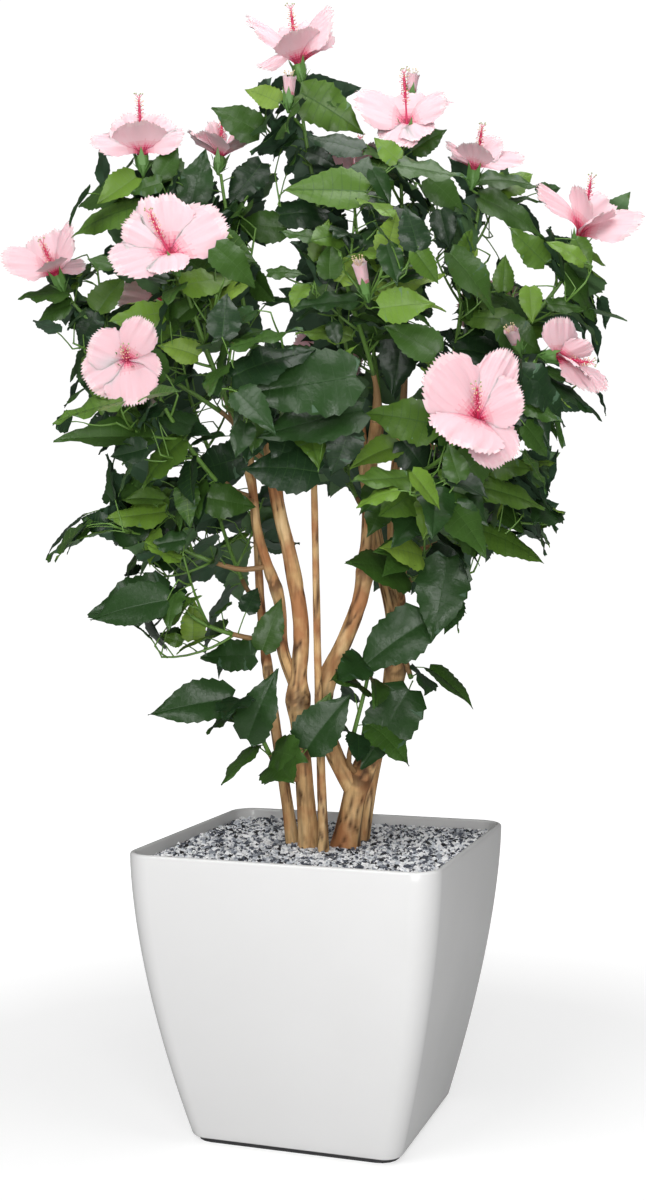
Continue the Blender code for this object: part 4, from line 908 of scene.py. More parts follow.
class Space:
    """A point belongs to the mass whose main shoot is nearest; a bloom's ball to its mass."""

    def __init__(self, shoots):
        paths = [path[SPACE_FROM:] for path in shoots.values()]
        self.segments = Segments(paths)
        self.owners = np.repeat(list(shoots), [len(path) - 1 for path in paths])
        self.balls = [(mass.name, np.array(plant_place(bloom.middle)),
                       np.array(plant_place(bloom.facing).normalized()), bloom.size / 2)
                      for mass in MASSES for bloom in mass.blooms]

    def holds(self, mass, points):
        points = np.array(points)
        away = self.segments.distances(points)
        own = away[:, self.owners == mass.name].min(axis=1)
        other = away[:, self.owners != mass.name].min(axis=1)
        inside = (own + 2 * LEAF_CLEAR < other) & (own < mass.reach)
        for owner, middle, facing, radius in self.balls:
            near = np.linalg.norm(points - middle, axis=1) < radius + LEAF_CLEAR
            behind = (points - middle) @ facing < -BLOOM_BACK * radius
            if owner == mass.name:
                inside |= near & behind
                near &= ~behind
            inside &= ~near
        return bool(inside.all()) and bool((points[:, 2] > POT_HEIGHT + POT_CLEAR).all())


class Thicket:
    """What already stands in the crown: limbs as capsules, blades as middles, and the
    leaves and blooms in view, which nothing may hide."""

    def __init__(self, limbs):
        self.segments = Segments([path for path, _, _ in limbs])
        self.radii = np.concatenate([np.maximum(radii[:-1], radii[1:])
                                     for _, radii, _ in limbs])
        self.middles, self.shown = np.empty((0, 3)), np.empty((0, 4))
        self.sky = np.array(SKY, dtype=float)
        self.low, self.high = np.array(CAD_BOX[0]) - PAST_BOX, np.array(CAD_BOX[1]) + PAST_BOX

    def add(self, middle):
        self.middles = np.vstack([self.middles, middle])

    def keep_in_view(self, middle, size, behind):
        """Nothing may hide a disc of this radius at middle, or what is behind metres off."""
        spots, away = picture_place([middle])
        row = [*spots[0], away[0] + behind, size / away[0] * VIEW_LENGTH]
        self.shown = np.vstack([self.shown, row])

    def free(self, points, middle, face):
        """True if the points miss the limbs, the sky and what is kept in view, and no
        like blade lies close by."""
        middle = np.array(middle)
        apart = self.middles - middle
        height = apart @ np.array(face)
        level = (apart ** 2).sum(axis=1) - height ** 2
        if ((np.abs(height) < LEAF_OVER) & (level < LEAF_APART ** 2)).any():
            return False
        points = np.vstack([points, middle])
        if (points < self.low).any() or (points > self.high).any():
            return False
        spots, away = picture_place(points)
        apart = ((spots[:, None] - self.sky[None, :, :2]) ** 2).sum(axis=2)
        if (apart < self.sky[:, 2] ** 2).any():
            return False
        apart = ((spots[:, None] - self.shown[None, :, :2]) ** 2).sum(axis=2)
        hides = (apart < self.shown[:, 3] ** 2) & (away[:, None] < self.shown[:, 2])
        return not (hides.any() or (self.segments.distances(points)
                                    < self.radii + LIMB_CLEAR).any())


# ---------------------------------------------------------------- blades
def blade_lines():
    """Places along the blade where each line leaves the midrib and meets the edge."""
    part = np.arange(2 * TEETH + 1) / (2 * TEETH)
    middle = 0.985 * part ** 1.12
    tips = -0.06 + 1.06 * (np.arange(TEETH + 1) / TEETH) ** 0.92
    edge = np.empty(len(part))
    edge[0::2] = tips
    edge[1::2] = tips[:-1] + 0.30 * np.diff(tips)
    wide = np.interp(edge, *EDGE_OUTLINE)
    wide[0::2] *= 1.04
    wide[1::2] *= 0.95
    wide[-1] = 0.012
    return middle, edge, wide


class Blade:
    """One blade of unit length: x along it, y across, z out of its upper side."""

    def __init__(self, rng):
        self.fold = rng.uniform(0.05, 0.42)
        self.curl = rng.uniform(0.02, 0.30)
        self.wave = rng.uniform(0.014, 0.050)
        self.waves = rng.uniform(1.2, 2.6)
        self.phase = [rng.uniform(0, 2 * math.pi) for _ in range(2)]
        self.droop = rng.uniform(0.0, 0.5)
        self.bend = rng.uniform(-0.10, 0.10)
        self.puff = rng.uniform(0.014, 0.026)
        self.half = rng.uniform(*LEAF_HALF)
        self.middle, self.edge, wide = blade_lines()
        self.wide = wide * self.half
        self.rows = np.arange(len(wide))
        self.count, self.sheets = 0, []
        for hand in (1, -1):
            self.add_side(hand)
        self.add_rib()
        self.verts = np.concatenate([points for points, _, _ in self.sheets])
        self.faces = [np.vstack([faces for _, faces, kind in self.sheets if kind == wanted])
                      for wanted in ("top", "back", "vein")]
        edges = [self.surface(self.rows[::3], 1.0, hand) for hand in (1, -1)]
        self.outline = np.vstack([*edges, [[0.3, 0, 0], [0.6, 0, 0]]])

    def surface(self, row, part, hand):
        """Place at a row (a fraction between rows is allowed) and a part of the way out."""
        middle, edge, wide = [np.interp(row, self.rows, values)
                              for values in (self.middle, self.edge, self.wide)]
        part = part + np.zeros(np.shape(row))
        x = middle + (edge - middle) * part ** 1.25
        y = hand * wide * part
        lift = self.fold * np.abs(y) - self.droop * (part ** 2) * wide * 0.55
        between = np.abs(((row + 1) % 2) - 1)
        lift = lift + self.puff * between * np.sin(math.pi * np.clip(part, 0, 1) ** 0.8)
        side = self.phase[0] if hand > 0 else self.phase[1]
        lift = lift + self.wave * part ** 2 * np.sin(2 * math.pi * self.waves * x + side)
        y = y + self.bend * x ** 2
        z = lift - self.curl * x ** 2
        return np.stack([x, y, z], axis=-1)

    def add_sheet(self, points, rows, kind, flip=False):
        faces = grid_faces(rows, len(points) // rows) + self.count
        self.sheets.append((points, faces[:, ::-1] if flip else faces, kind))
        self.count += len(points)

    def add_side(self, hand):
        """Upper side, underside and side veins on one hand of the midrib."""
        rows = self.rows[:, None]
        self.add_sheet(self.surface(rows, BLADE_PARTS, hand).reshape(-1, 3), len(rows), "top",
                       hand < 0)
        under = self.surface(rows, np.array([0.0, 1.0]), hand).reshape(-1, 3)
        under[:, 2] -= np.tile([0.006, 0.0015], len(rows))
        self.add_sheet(under, len(rows), "back", hand > 0)
        for row in self.rows[0:-3:2]:
            strip = [self.surface(np.maximum(row + sign * VEIN_HALF, 0), VEIN_PARTS, hand)
                     for sign in (1, -1)]
            self.add_sheet(np.concatenate(strip) + (0, 0, 0.0035), 2, "vein", hand > 0)

    def add_rib(self):
        lines = []
        for hand in (1, -1):
            line = self.surface(self.rows, 0.0, hand)
            line[:, 1] += hand * np.linspace(0.0090, 0.0020, len(line))
            line[:, 2] += 0.0045
            lines.append(line)
        self.add_sheet(np.concatenate(lines), 2, "vein")


def leaf_axes(way, face):
    way = way.normalized()
    face = face - way * face.dot(way)
    if face.length < 0.05:
        face = way.orthogonal()
    face = face.normalized()
    return way, face, way.cross(face)


def leaf_slots(level, lighter=False):
    """Names of a leaf's upper, underside and vein colours. level is 0 for the deepest."""
    vein = min(level // 2 + lighter, 2)
    return [list(LEAF_TOPS)[level], "back_dark" if level < 3 else "back_light",
            list(LEAF_VEINS)[vein]]


def drawn_slots_shaded_inside(rng, depth):
    """Colours of a leaf that is 0 deep in the crown's middle and 1 at its skin; leaves inside the
    crown get painted shade.
    """
    level = rng.choices(range(len(LEAF_SHARE)), LEAF_SHARE)[0]
    # Painted shade: a leaf well inside the crown gets only one of the three darkest tones.
    if depth < 0.55:
        level = min(level, 2)
    return leaf_slots(level, rng.random() < 0.15)


def add_leaf(soup, twigs, root, base, way, face, length, blade, slots):
    """A stalk from root to base and a blade from there along way."""
    way, face, across = leaf_axes(way, face)
    axes = np.array([way, across, face])
    soup.add(np.array(base) + length * (blade.verts @ axes), blade.faces, slots)
    sag = (root + base) / 2 + UP * 0.06 * (base - root).length
    end = base + way * length * 0.03 - face * 0.0008
    path = [root, root.lerp(sag, 0.55), sag.lerp(base, 0.45), base - face * 0.0006, end]
    radii = [STALK_THICK * share for share in (1.25, 1, 1, 1, 0.5)]
    add_tube(twigs, path, radii, 4, "twig_green", cap=False)


# ---------------------------------------------------------------- growing
def seat_on_limb(mass, lines):
    """Where a main shoot leaves its limb's surface, its way, and its middle there."""
    path, radii, _ = lines[mass.limb]
    point, tangent = along_path(path, mass.along)
    if mass.along >= 1.0:
        return point, tangent, point - tangent * 0.01
    towards = plant_place(mass.end) - point
    out = (towards - tangent * towards.dot(tangent)).normalized()
    index = min(range(len(path)), key=lambda i: (path[i] - point).length)
    return point + out * radii[index], out, point


def main_shoots(lines):
    """The path of each mass's main shoot, and its root inside the limb."""
    paths, roots = {}, {}
    for mass in MASSES:
        start, way, root = seat_on_limb(mass, lines)
        neck = start + way * SHOOT_NECK
        end = plant_place(mass.end)
        arrive = (end - neck).normalized() + SHOOT_RISE * UP
        paths[mass.name] = [start] + bent_path(neck, way, end, arrive, MAIN_PIECES, SHOOT_PULL)
        roots[mass.name] = root
    return paths, roots


def mixed(shares, *ways):
    return sum((share * way for share, way in zip(shares, ways)), Vector()).normalized()


def outward(point):
    away = Vector((point.x, point.y, 0))
    return away.normalized() if away.length > 0.01 else Vector((0, -1, 0))


def rising_path(start, way, length, pieces):
    end = start + (way + SIDE_RISE * UP).normalized() * length
    return bent_path(start, way, end, way + 2 * SIDE_RISE * UP, pieces)


def side_shoots(mass, main, space, rng):
    """Side shoots, each as long as its space allows, and their seats on the main one."""
    paths, seats = [], []
    turn = rng.uniform(0, 2 * math.pi)
    for k in range(mass.shoots):
        part = SIDE_FIRST + (SIDE_LAST - SIDE_FIRST) * (k + 0.5) / mass.shoots
        start, tangent = along_path(main, part)
        turn += GOLDEN
        way = mixed(SIDE_WAY, tangent, spun(tangent, turn), outward(start))
        length = rng.uniform(*SIDE_LONG)
        while length > SIDE_SHORTEST:
            if space.holds(mass, rising_path(start, way, length, SIDE_PIECES)[1:]):
                paths.append(rising_path(start, way, length, MAIN_PIECES))
                seats.append((0, part))
                break
            length *= SIDE_CUT
    return paths, seats


def fine_shoots(mass, sides, space, rng):
    """Short twigs that carry the side shoots on, in the same space, and their seats."""
    paths, seats = [], []
    for number, side in enumerate(sides):
        for part in FINE_PARTS:
            start, tangent = along_path(side, part)
            across = spun(tangent, rng.uniform(0, 2 * math.pi))
            way = mixed(FINE_WAY, tangent, across, outward(start))
            path = rising_path(start, way, rng.uniform(*FINE_LONG), FINE_PIECES)
            if space.holds(mass, path[1:]):
                paths.append(path)
                seats.append((1 + number, part))
    return paths, seats


class Growth:
    """The shoots of one mass: main, side and fine ones, and how far each bears leaves."""

    def __init__(self, index, mass, main, root, space):
        rng = random.Random(SEED + index)
        self.mass, self.root = mass, root
        sides, side_seats = side_shoots(mass, main, space, rng)
        fine, fine_seats = fine_shoots(mass, sides, space, rng)
        self.shoots = [main] + sides + fine
        self.seats = [None] + side_seats + fine_seats
        self.used = [0.0] * len(self.shoots)
        self.used[0] = max([0.5] + [bloom.along for bloom in mass.blooms])

    def stations(self, rng):
        """Shuffled places of leaves, as (shoot, part of its length)."""
        stations = []
        for number, path in enumerate(self.shoots):
            first = MAIN_BARE if number == 0 else SIDE_BARE
            count = max(2, round(sum(path_lengths(path)) * (1 - first) / LEAF_GAP))
            stations += [(number, first + (0.99 - first) * (k + 0.5) / count)
                         for k in range(count)]
        rng.shuffle(stations)
        return stations

    def bear(self, number, part):
        """Note that a shoot bears a leaf at a part of its length."""
        while self.used[number] < part:
            self.used[number] = part
            if self.seats[number] is None:
                break
            number, part = self.seats[number]

    def add_twigs(self, twigs, limb):
        """Tubes for the shoots, each as far as it bears something."""
        line = smooth_path([self.root] + trimmed(self.shoots[0], min(1.0, self.used[0])),
                           LINE_STEP)
        gone = np.cumsum([0.0] + path_lengths(line))
        stout = limb.thin if self.mass.along >= 1.0 else SHOOT_THICK
        widths = np.interp(gone, [0, SHOOT_WOODY, gone[-1] + SHOOT_WOODY],
                           [stout, SHOOT_THICK * 0.85, SHOOT_THIN])
        woody = min(int(np.searchsorted(gone, SHOOT_WOODY)) + 1, len(line) - 2)
        add_tube(twigs, line[:woody + 1], widths[:woody + 1], 9, "twig_brown")
        add_tube(twigs, line[woody:], widths[woody:], 7, "twig_green")
        for path, seat, part in zip(self.shoots, self.seats, self.used):
            if seat and part:
                thick = SHOOT_THIN if seat[0] == 0 else SHOOT_THIN * 0.7
                path = trimmed(path, min(1.0, part + 0.01))
                add_tube(twigs, path, np.linspace(thick, thick * 0.65, len(path)), 5,
                         "twig_green")


class Seats:
    """Places on all shoots where a leaf in view can start."""

    def __init__(self, grown):
        self.rows, self.points = [], []
        for name, growth in grown.items():
            for number, path in enumerate(growth.shoots):
                steps = 4 * len(path)
                for step in range(steps // 5 if number == 0 else 0, steps):
                    part = min(0.98, step / steps)
                    self.points.append(along_path(path, part)[0])
                    self.rows.append((name, number, part))
        self.spots, self.away = picture_place(self.points)

    def nearest(self, x, y):
        """The place that a leaf starts from: close to x, y as seen, and well in front."""
        cost = np.hypot(self.spots[:, 0] - x, self.spots[:, 1] - y) + 150 * self.away
        best = int(np.argmin(cost))
        return (*self.rows[best], self.points[best], CAMERA_FAR - self.away[best])


def add_shown_leaves(grown, pieces, thicket, blades):
    """The leaves that the picture shows one by one."""
    rng = random.Random(SEED * 7)
    seats = Seats(grown)
    broad = [blade for blade in blades if blade.half > 0.31]
    for x, y, tip_x, tip_y, half, tone in SHOWN_LEAVES:
        name, number, part, root, near = seats.nearest(x, y)
        grown[name].bear(number, part)
        near += SHOWN_NEAR
        base = view_place(x, y, near)
        tip = view_place(tip_x, tip_y, near + rng.uniform(-SHOWN_NEAR, SHOWN_NEAR))
        length = (tip - base).length
        tilt = min(1.0, half / SHOWN_FULL)
        face = tilt * BACK + math.sqrt(1 - 0.96 * tilt ** 2) * VIEW_UP
        face += RIGHT * rng.uniform(-0.25, 0.25)
        way, face, _ = leaf_axes(tip - base, face)
        blade = rng.choice(broad if half > 0.3 else blades)
        leaves, twigs, _ = pieces[name]
        add_leaf(leaves, twigs, root, base, way, face, length, blade,
                 leaf_slots(list(LEAF_TOPS).index("leaf_" + tone)))
        middle = base + way * length * LEAF_MIDDLE
        thicket.add(middle)
        thicket.keep_in_view(middle, LEAF_KEPT * length, 0.01)


def add_grown_leaves(index, growth, space, thicket, leaves, twigs, blades):
    """Leaves along the shoots of a mass, wherever a try finds room."""
    rng = random.Random(SEED * 2 + index)
    turn = rng.uniform(0, 2 * math.pi)
    for shoot, part in growth.stations(rng):
        turn += GOLDEN
        size = rng.uniform(LEAF_SHORT, LEAF_LONG)
        blade = blades[rng.randrange(len(blades))]
        start, tangent = along_path(growth.shoots[shoot], part)
        for attempt in range(LEAF_TRIES):
            length = size * (1 - LEAF_SHRINK * attempt / LEAF_TRIES)
            swing = rng.uniform(-LEAF_SWING, LEAF_SWING) * attempt
            stalk_way = mixed(STALK_WAY, tangent, spun(tangent, turn + swing), outward(start))
            base = start + stalk_way * rng.uniform(STALK_SHORT, STALK_LONG)
            out = outward(base)
            way = LEAF_ALONG * stalk_way - rng.uniform(*LEAF_DROOP) * UP
            way -= LEAF_TURN * max(0.0, way.dot(out)) * out
            face = LEAF_LIFT * UP + out
            face += Vector([rng.uniform(-LEAF_SCATTER, LEAF_SCATTER) for _ in range(3)])
            way, face, across = leaf_axes(way, face)
            points = np.array(base) + length * (blade.outline @ np.array([way, across, face]))
            middle = base + way * length * LEAF_MIDDLE
            if thicket.free(points, middle, face) and space.holds(growth.mass, points):
                thicket.add(middle)
                # How deep in the crown a leaf lies, for its painted shade.
                depth = math.hypot(middle.x, middle.y) / CROWN_RADIUS
                add_leaf(leaves, twigs, start, base, way, face, length, blade,
                         drawn_slots_shaded_inside(rng, depth))
                growth.bear(shoot, part)
                break


def add_lone_leaves(mass, main, leaves, twigs, blades, rng):
    for leaf in mass.lone:
        start, _ = along_path(main, leaf.along)
        base, tip = plant_place(leaf.base), plant_place(leaf.tip)
        add_leaf(leaves, twigs, start, base, tip - base, plant_place(LONE_FACE),
                 (tip - base).length, rng.choice(blades), leaf_slots(1))


# ---------------------------------------------------------------- blooms
def bloom_axes(facing):
    """Two ways across a bloom and its facing, as rows."""
    facing = facing.normalized()
    side = facing.cross(UP)
    if side.length < 0.2:
        side = facing.cross(Vector((0, 1, 0)))
    side.normalize()
    return np.array([side, side.cross(facing), facing])


def around(axes, turn):
    """The way across a bloom at a turn about its facing."""
    return Vector(axes[0]) * math.cos(turn) + Vector(axes[1]) * math.sin(turn)


def petal_line(cup, axis, tip, out, arch):
    """Points and ways of a petal's middle line, from the cup along the axis to the tip."""
    leave = (axis + 0.25 * out).normalized()
    arrive = ((tip - cup).normalized() + 0.35 * out - 0.15 * axis).normalized()
    points = np.array(bent_path(cup, leave, tip, arrive, PETAL_ROWS - 1, 2.0 * arch))
    ways = np.gradient(points, axis=0)
    return points, ways / np.linalg.norm(ways, axis=1, keepdims=True)


def petal_sheet(rng, cup, axis, tip, half, arch, dish, lean):
    """One petal, as corners, and its faces and colours by their distance from the cup.

    half is its half-width to its length, arch how long it follows the axis, and dish how
    far its sides stand up from its middle. The side that lies along lean hangs down.
    """
    span = tip - cup
    long = span.length
    out = span - axis * span.dot(axis)
    if out.length < 0.15 * long:
        out = out + axis.orthogonal() * 0.15 * long
    out.normalize()
    side = axis.cross(out)
    across = np.array((side - side.dot(lean) * axis).normalized())
    u = np.linspace(0.0, 1.0, PETAL_ROWS)[:, None]
    v = np.linspace(-1.0, 1.0, PETAL_COLUMNS)[None, :]
    tooth = np.array([0.45 + 0.55 * rng.random() if k % 2 else -0.25 * rng.random()
                      for k in range(PETAL_COLUMNS)])[None, :]
    back = 0.26 * np.abs(v) ** 2.8 * u ** 2
    at = np.clip(u - back + PETAL_FRINGE * tooth * (u > 0.97), 0, 1.07)
    step, rows = at * (PETAL_ROWS - 1), np.arange(PETAL_ROWS)
    places, tangent = [np.stack([np.interp(step, rows, line[:, k]) for k in range(3)], -1)
                       for line in petal_line(cup, axis, tip, out, arch)]
    places = places + np.maximum(at - 1, 0)[..., None] * long * tangent
    wide = PETAL_FULL * half * long * np.interp(u, *PETAL_OUTLINE)
    nick = np.array([rng.uniform(-1, 1) for _ in range(PETAL_ROWS)])[:, None]
    edge = (np.abs(v) > 0.97) * (u > 0.35) * nick * PETAL_NICK
    height = dish * long * np.abs(v) ** 1.8 * np.sin(math.pi * np.clip(u, 0, 1) * 0.62)
    phase = [rng.uniform(0, 2 * math.pi) for _ in range(3)]
    ripple = 0.026 * np.sin(2.2 * math.pi * v + phase[0]) * u ** 1.6
    ripple = ripple + 0.020 * np.sin(5.4 * math.pi * v + 3 * u + phase[1]) * u ** 3
    ripple = ripple + 0.005 * np.sin(13 * math.pi * v + phase[2]) * u ** 0.5
    height = height + long * ripple
    verts = (places + (wide * (v + edge * np.sign(v)))[..., None] * across
             + height[..., None] * -np.cross(tangent, across))
    cells = np.arange(PETAL_COLUMNS - 1)
    streak = np.array([rng.uniform(-0.03, 0.03) for _ in cells]) + 0.03 * (cells % 4 == 1)
    level = (np.arange(PETAL_ROWS - 1)[:, None] + 0.5) / (PETAL_ROWS - 1) - streak[None, :]
    colour = np.digitize(level, PETAL_LIMITS).ravel()
    quads = grid_faces(PETAL_ROWS, PETAL_COLUMNS)
    shown = [k for k in range(len(PETAL_COLOURS)) if (colour == k).any()]
    return (verts.reshape(-1, 3), [quads[colour == k] for k in shown],
            [list(PETAL_COLOURS)[k] for k in shown])


def add_calyx(twigs, cup, facing, axes, rng, long=CALYX_LONG, wide=CALYX_WIDE):
    """Five pointed lobes round a cup, with seven thin bracts below."""
    foot = cup - facing * long
    path = [foot - facing * 0.004, foot, foot + facing * long * 0.25, foot + facing * long * 0.6,
            cup + facing * 0.001]
    add_tube(twigs, path, [0.0022, 0.0035, wide * 0.62, wide * 0.85, wide * 0.9], 10,
             "calyx_green")
    for k in range(5):
        side = around(axes, 2 * math.pi * (k + 0.5 * rng.random()) / 5)
        across = facing.cross(side)
        low, high = foot + facing * long * 0.45, cup + facing * 0.012 + side * wide * 1.45
        middle = low.lerp(high, 0.5) + side * wide * 0.25
        low = low + side * wide * 0.8
        verts = [low - across * 0.0045, low + across * 0.0045, middle + across * 0.0036, high,
                 middle - across * 0.0036]
        twigs.add(verts, np.array([[0, 1, 2], [0, 2, 4], [4, 2, 3]]), "calyx_green")
    for k in range(7):
        side = around(axes, 2 * math.pi * (k + 0.4 * rng.random()) / 7)
        start = foot + side * 0.003
        add_tube(twigs, [start, start + facing * 0.008 + side * 0.006,
                         start + facing * 0.014 + side * 0.012], [0.0009, 0.0007, 0.0002], 4,
                 "calyx_green")


def add_thread(petals, root, tip, radii, sides, slot, bead, bead_slot):
    """A thin filament with a bead on its end."""
    add_tube(petals, [root, tip], radii, sides, slot, cap=False)
    petals.add(np.array(tip) + bead * BEAD, BEAD_FACES, bead_slot)


def add_column(petals, cup, facing, axes, end, rng):
    """Stamen column with its filaments, anthers and the five stigmas."""
    length = (end - cup).length
    path = bent_path(cup - facing * 0.002, facing, end, (end - cup) + 0.3 * length * UP, 11)
    add_tube(petals, path, np.interp(np.linspace(0, 1, 12), *COLUMN_OUTLINE), 7, "column_red")
    first, span = STAMEN_PARTS
    for k in range(STAMENS):
        part = first + span * (k + rng.random()) / STAMENS
        point, tangent = along_path(path, part)
        way = (spun(tangent, k * GOLDEN) + 0.45 * tangent).normalized()
        tip = point + way * rng.uniform(0.0035, 0.0070)
        bead = 0.0008 + 0.0004 * rng.random()
        slot, bead_slot = "column_pink", "anther_cream"
        if part < 0.88:
            slot, bead_slot = "column_red", rng.choice(ANTHERS)
        add_thread(petals, point, tip, [0.00050, 0.00032], 3, slot, bead, bead_slot)
    for k in range(5):
        side = Matrix.Rotation(2 * math.pi * k / 5, 3, facing) @ Vector(axes[0])
        tip = path[-1] + (facing + 0.8 * side).normalized() * rng.uniform(0.007, 0.011)
        add_thread(petals, path[-1], tip, [0.0005, 0.0004], 4, "column_pink", 0.0014, "stigma")


def petal_tips(middle, facing, radius, rng):
    """Even petals round a bloom, as (tip, half-width, arch, dish)."""
    axes = bloom_axes(facing)
    rows = []
    for k in range(PETALS):
        turn = 2 * math.pi * (k + 0.5 + rng.uniform(-0.08, 0.08)) / PETALS
        reach = radius * rng.uniform(0.92, 1.02)
        tip = (middle + reach * around(axes, turn)
               + facing * radius * (BLOOM_CUP + rng.uniform(-0.16, 0.10)))
        rows.append((tip, rng.uniform(0.40, 0.50), rng.uniform(0.4, 0.6),
                     rng.uniform(0.02, 0.14)))
    return rows


def shown_petals(shape, middle):
    """Cup, petals and column's end of a bloom in view, by its picture places."""
    depth = (middle - view_place(*VIEW_MIDDLE, 0)).dot(BACK)
    cup = view_place(*shape.cup, depth + shape.near)
    tips = [(view_place(x, y, depth + near), half, arch, dish)
            for x, y, near, half, arch, dish in shape.petals]
    x, y, near = shape.column
    return cup, tips, view_place(x, y, depth + near)


def add_bloom(name, bloom, main, petals, twigs, rng):
    middle, facing = plant_place(bloom.middle), plant_place(bloom.facing).normalized()
    start, tangent = along_path(main, min(bloom.along, 0.985))
    radius = bloom.size / 2
    if isinstance(bloom, Bud):
        add_bud(middle, facing, bloom.size, start, tangent, petals, twigs, rng)
        return
    if name in SHOWN:
        lean = PETAL_LEAN * BACK
        cup, tips, end = shown_petals(SHOWN[name], middle)
        facing = (0.5 * facing + (end - cup).normalized()).normalized()
    else:
        lean = Vector()
        cup = middle - facing * radius * THROAT_DEPTH
        tips = petal_tips(middle, facing, radius, rng)
        end = cup + facing * radius * 1.25 + 0.2 * radius * UP
    axes = bloom_axes(facing)
    stalk = bent_path(start, tangent + 0.4 * facing, cup - facing * CALYX_LONG, facing, 8)
    add_tube(twigs, stalk, [0.0017] * len(stalk), 6, "twig_green")
    add_calyx(twigs, cup, facing, axes, rng)
    for tip, half, arch, dish in tips:
        petals.add(*petal_sheet(rng, cup, facing, tip, half, arch, dish, lean))
    add_column(petals, cup, facing, axes, end, rng)


def add_bud(middle, facing, size, start, tangent, petals, twigs, rng):
    """A rolled bud that has just begun to open, on a long calyx."""
    axes = bloom_axes(facing)
    foot = middle - facing * size / 2
    stalk = bent_path(start, tangent + facing, foot, facing, 8)
    add_tube(twigs, stalk, np.linspace(0.0014, 0.0019, len(stalk)), 6, "twig_green")
    add_calyx(twigs, foot + facing * size * 0.30, facing, axes, rng, size * 0.42, 0.0078)
    rows, columns = 12, 20
    u = np.linspace(0, 1, rows)[:, None]
    turn = np.linspace(0, 2 * math.pi * 1.15, columns)[None, :] + 0.8 * u
    wide = np.interp(u, *BUD_OUTLINE)
    wide = wide * (1 + 0.10 * np.sin(5 * turn)) * (1 - 0.12 * turn / 7)
    fringe = np.array([rng.uniform(-0.0025, 0.0025) for _ in range(columns)])[None, :]
    height = size * (0.15 + 0.72 * u) + fringe * (u > 0.95)
    verts = np.stack([wide * np.cos(turn), wide * np.sin(turn), height], axis=-1).reshape(-1, 3)
    quads = grid_faces(rows, columns)
    third = len(quads) // 3
    petals.add(np.array(foot) + verts @ axes,
               [quads[:third], quads[third:-columns], quads[-columns:]],
               ["petal_rose", "petal_pale", "petal_edge"])
    for k in range(9):
        side = Matrix.Rotation(2.4 * k, 3, facing) @ Vector(axes[0])
        root = foot + facing * size * 0.78 + side * 0.003
        tip = root + facing * size * rng.uniform(0.18, 0.28) + side * 0.004
        add_thread(petals, root, tip, [0.0004, 0.0003], 3, "anther_cream", 0.0012,
                   "anther_cream")


# ---------------------------------------------------------------- planter and gravel
def pot_half_width(height):
    rise = height / POT_HEIGHT
    return (POT_BASE_WIDTH + (POT_WIDTH - POT_BASE_WIDTH) * (1 - (1 - rise) ** POT_BELLY)) / 2


def pot_corner(height):
    return POT_CORNER_BASE + (POT_CORNER_TOP - POT_CORNER_BASE) * height / POT_HEIGHT


def square_ring(half, corner, height, steps=14):
    ring = []
    for quarter in range(4):
        middle = Matrix.Rotation(quarter * math.pi / 2, 2) @ Vector((half - corner,) * 2)
        for k in range(steps + 1):
            angle = math.pi / 2 * (quarter + k / steps)
            ring.append((middle.x + corner * math.cos(angle),
                         middle.y + corner * math.sin(angle), height))
    return np.array(ring)


def pot_ring(height, inset):
    return square_ring(pot_half_width(height) - inset, pot_corner(height) - inset, height)


def make_pot(mats):
    """The planter's shell: from under its floor, up the wall and round the rim."""
    low = FOOT_HEIGHT + FOOT_GAP
    lip = POT_WALL / 2
    rings = [square_ring(0.05, 0.02, low)]
    for k in range(5):
        turn = math.pi / 2 * k / 4
        rings.append(pot_ring(low + POT_EDGE * (1 - math.cos(turn)),
                              POT_EDGE * (1 - math.sin(turn))))
    first, last = low + POT_EDGE, POT_HEIGHT - lip
    rings += [pot_ring(first + (last - first) * k / POT_RINGS, 0.0)
              for k in range(1, POT_RINGS + 1)]
    for k in range(1, 9):
        turn = math.pi * k / 8
        rings.append(pot_ring(last, lip * (1 - math.cos(turn)))
                     + np.array([0, 0, lip * math.sin(turn)]))
    rings += [pot_ring(last - 0.02 * k, POT_WALL) for k in range(1, 4)]
    soup = Soup()
    soup.add(np.concatenate(rings), grid_faces(len(rings), len(rings[0]), wrap=True),
             "pot_white")
    obj = soup.build("planter", mats)
    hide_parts("pot")


def chip_shape(rng):
    """An angular chip: a box with its corners knocked about."""
    size = np.array([rng.uniform(0.7, 1.25) for _ in range(3)])
    knock = np.array([[rng.uniform(-0.42, 0.42) for _ in range(3)] for _ in range(8)])
    return (CUBE + knock) * size


def heap_heights():
    """Heights of the gravel's low heaps on their grid, and the grid's half-width."""
    rng = random.Random(SEED)
    half = pot_half_width(GRAVEL_TOP) - POT_WALL - HEAP_MARGIN
    places = np.linspace(-half, half, HEAP_CELLS + 1)
    rises = np.empty((HEAP_CELLS + 1, HEAP_CELLS + 1))
    for row, y in enumerate(places):
        for column, x in enumerate(places):
            rises[row, column] = rng.uniform(*HEAP_RISE)
            if {row, column} & {0, HEAP_CELLS} or math.hypot(x, y) < HEAP_CLEAR:
                rises[row, column] = -HEAP_DIP
    return rises, half


def heap_rise(x, y, rises, half):
    across = (np.clip([x, y], -half, half) + half) / (2 * half) * HEAP_CELLS
    column, row = np.minimum(across.astype(int), HEAP_CELLS - 1)
    a, b = across - (column, row)
    low = rises[row, column] * (1 - a) + rises[row, column + 1] * a
    high = rises[row + 1, column] * (1 - a) + rises[row + 1, column + 1] * a
    return max(0.0, low * (1 - b) + high * b)


def inside_ring(x, y, half, corner):
    """True if a chip at x, y lies within the rounded square that the gravel fills."""
    x, y = abs(x) - half, abs(y) - half
    if x > -corner and y > -corner:
        return math.hypot(x + corner, y + corner) <= corner - CHIP_IN
    return max(x, y) <= -CHIP_IN


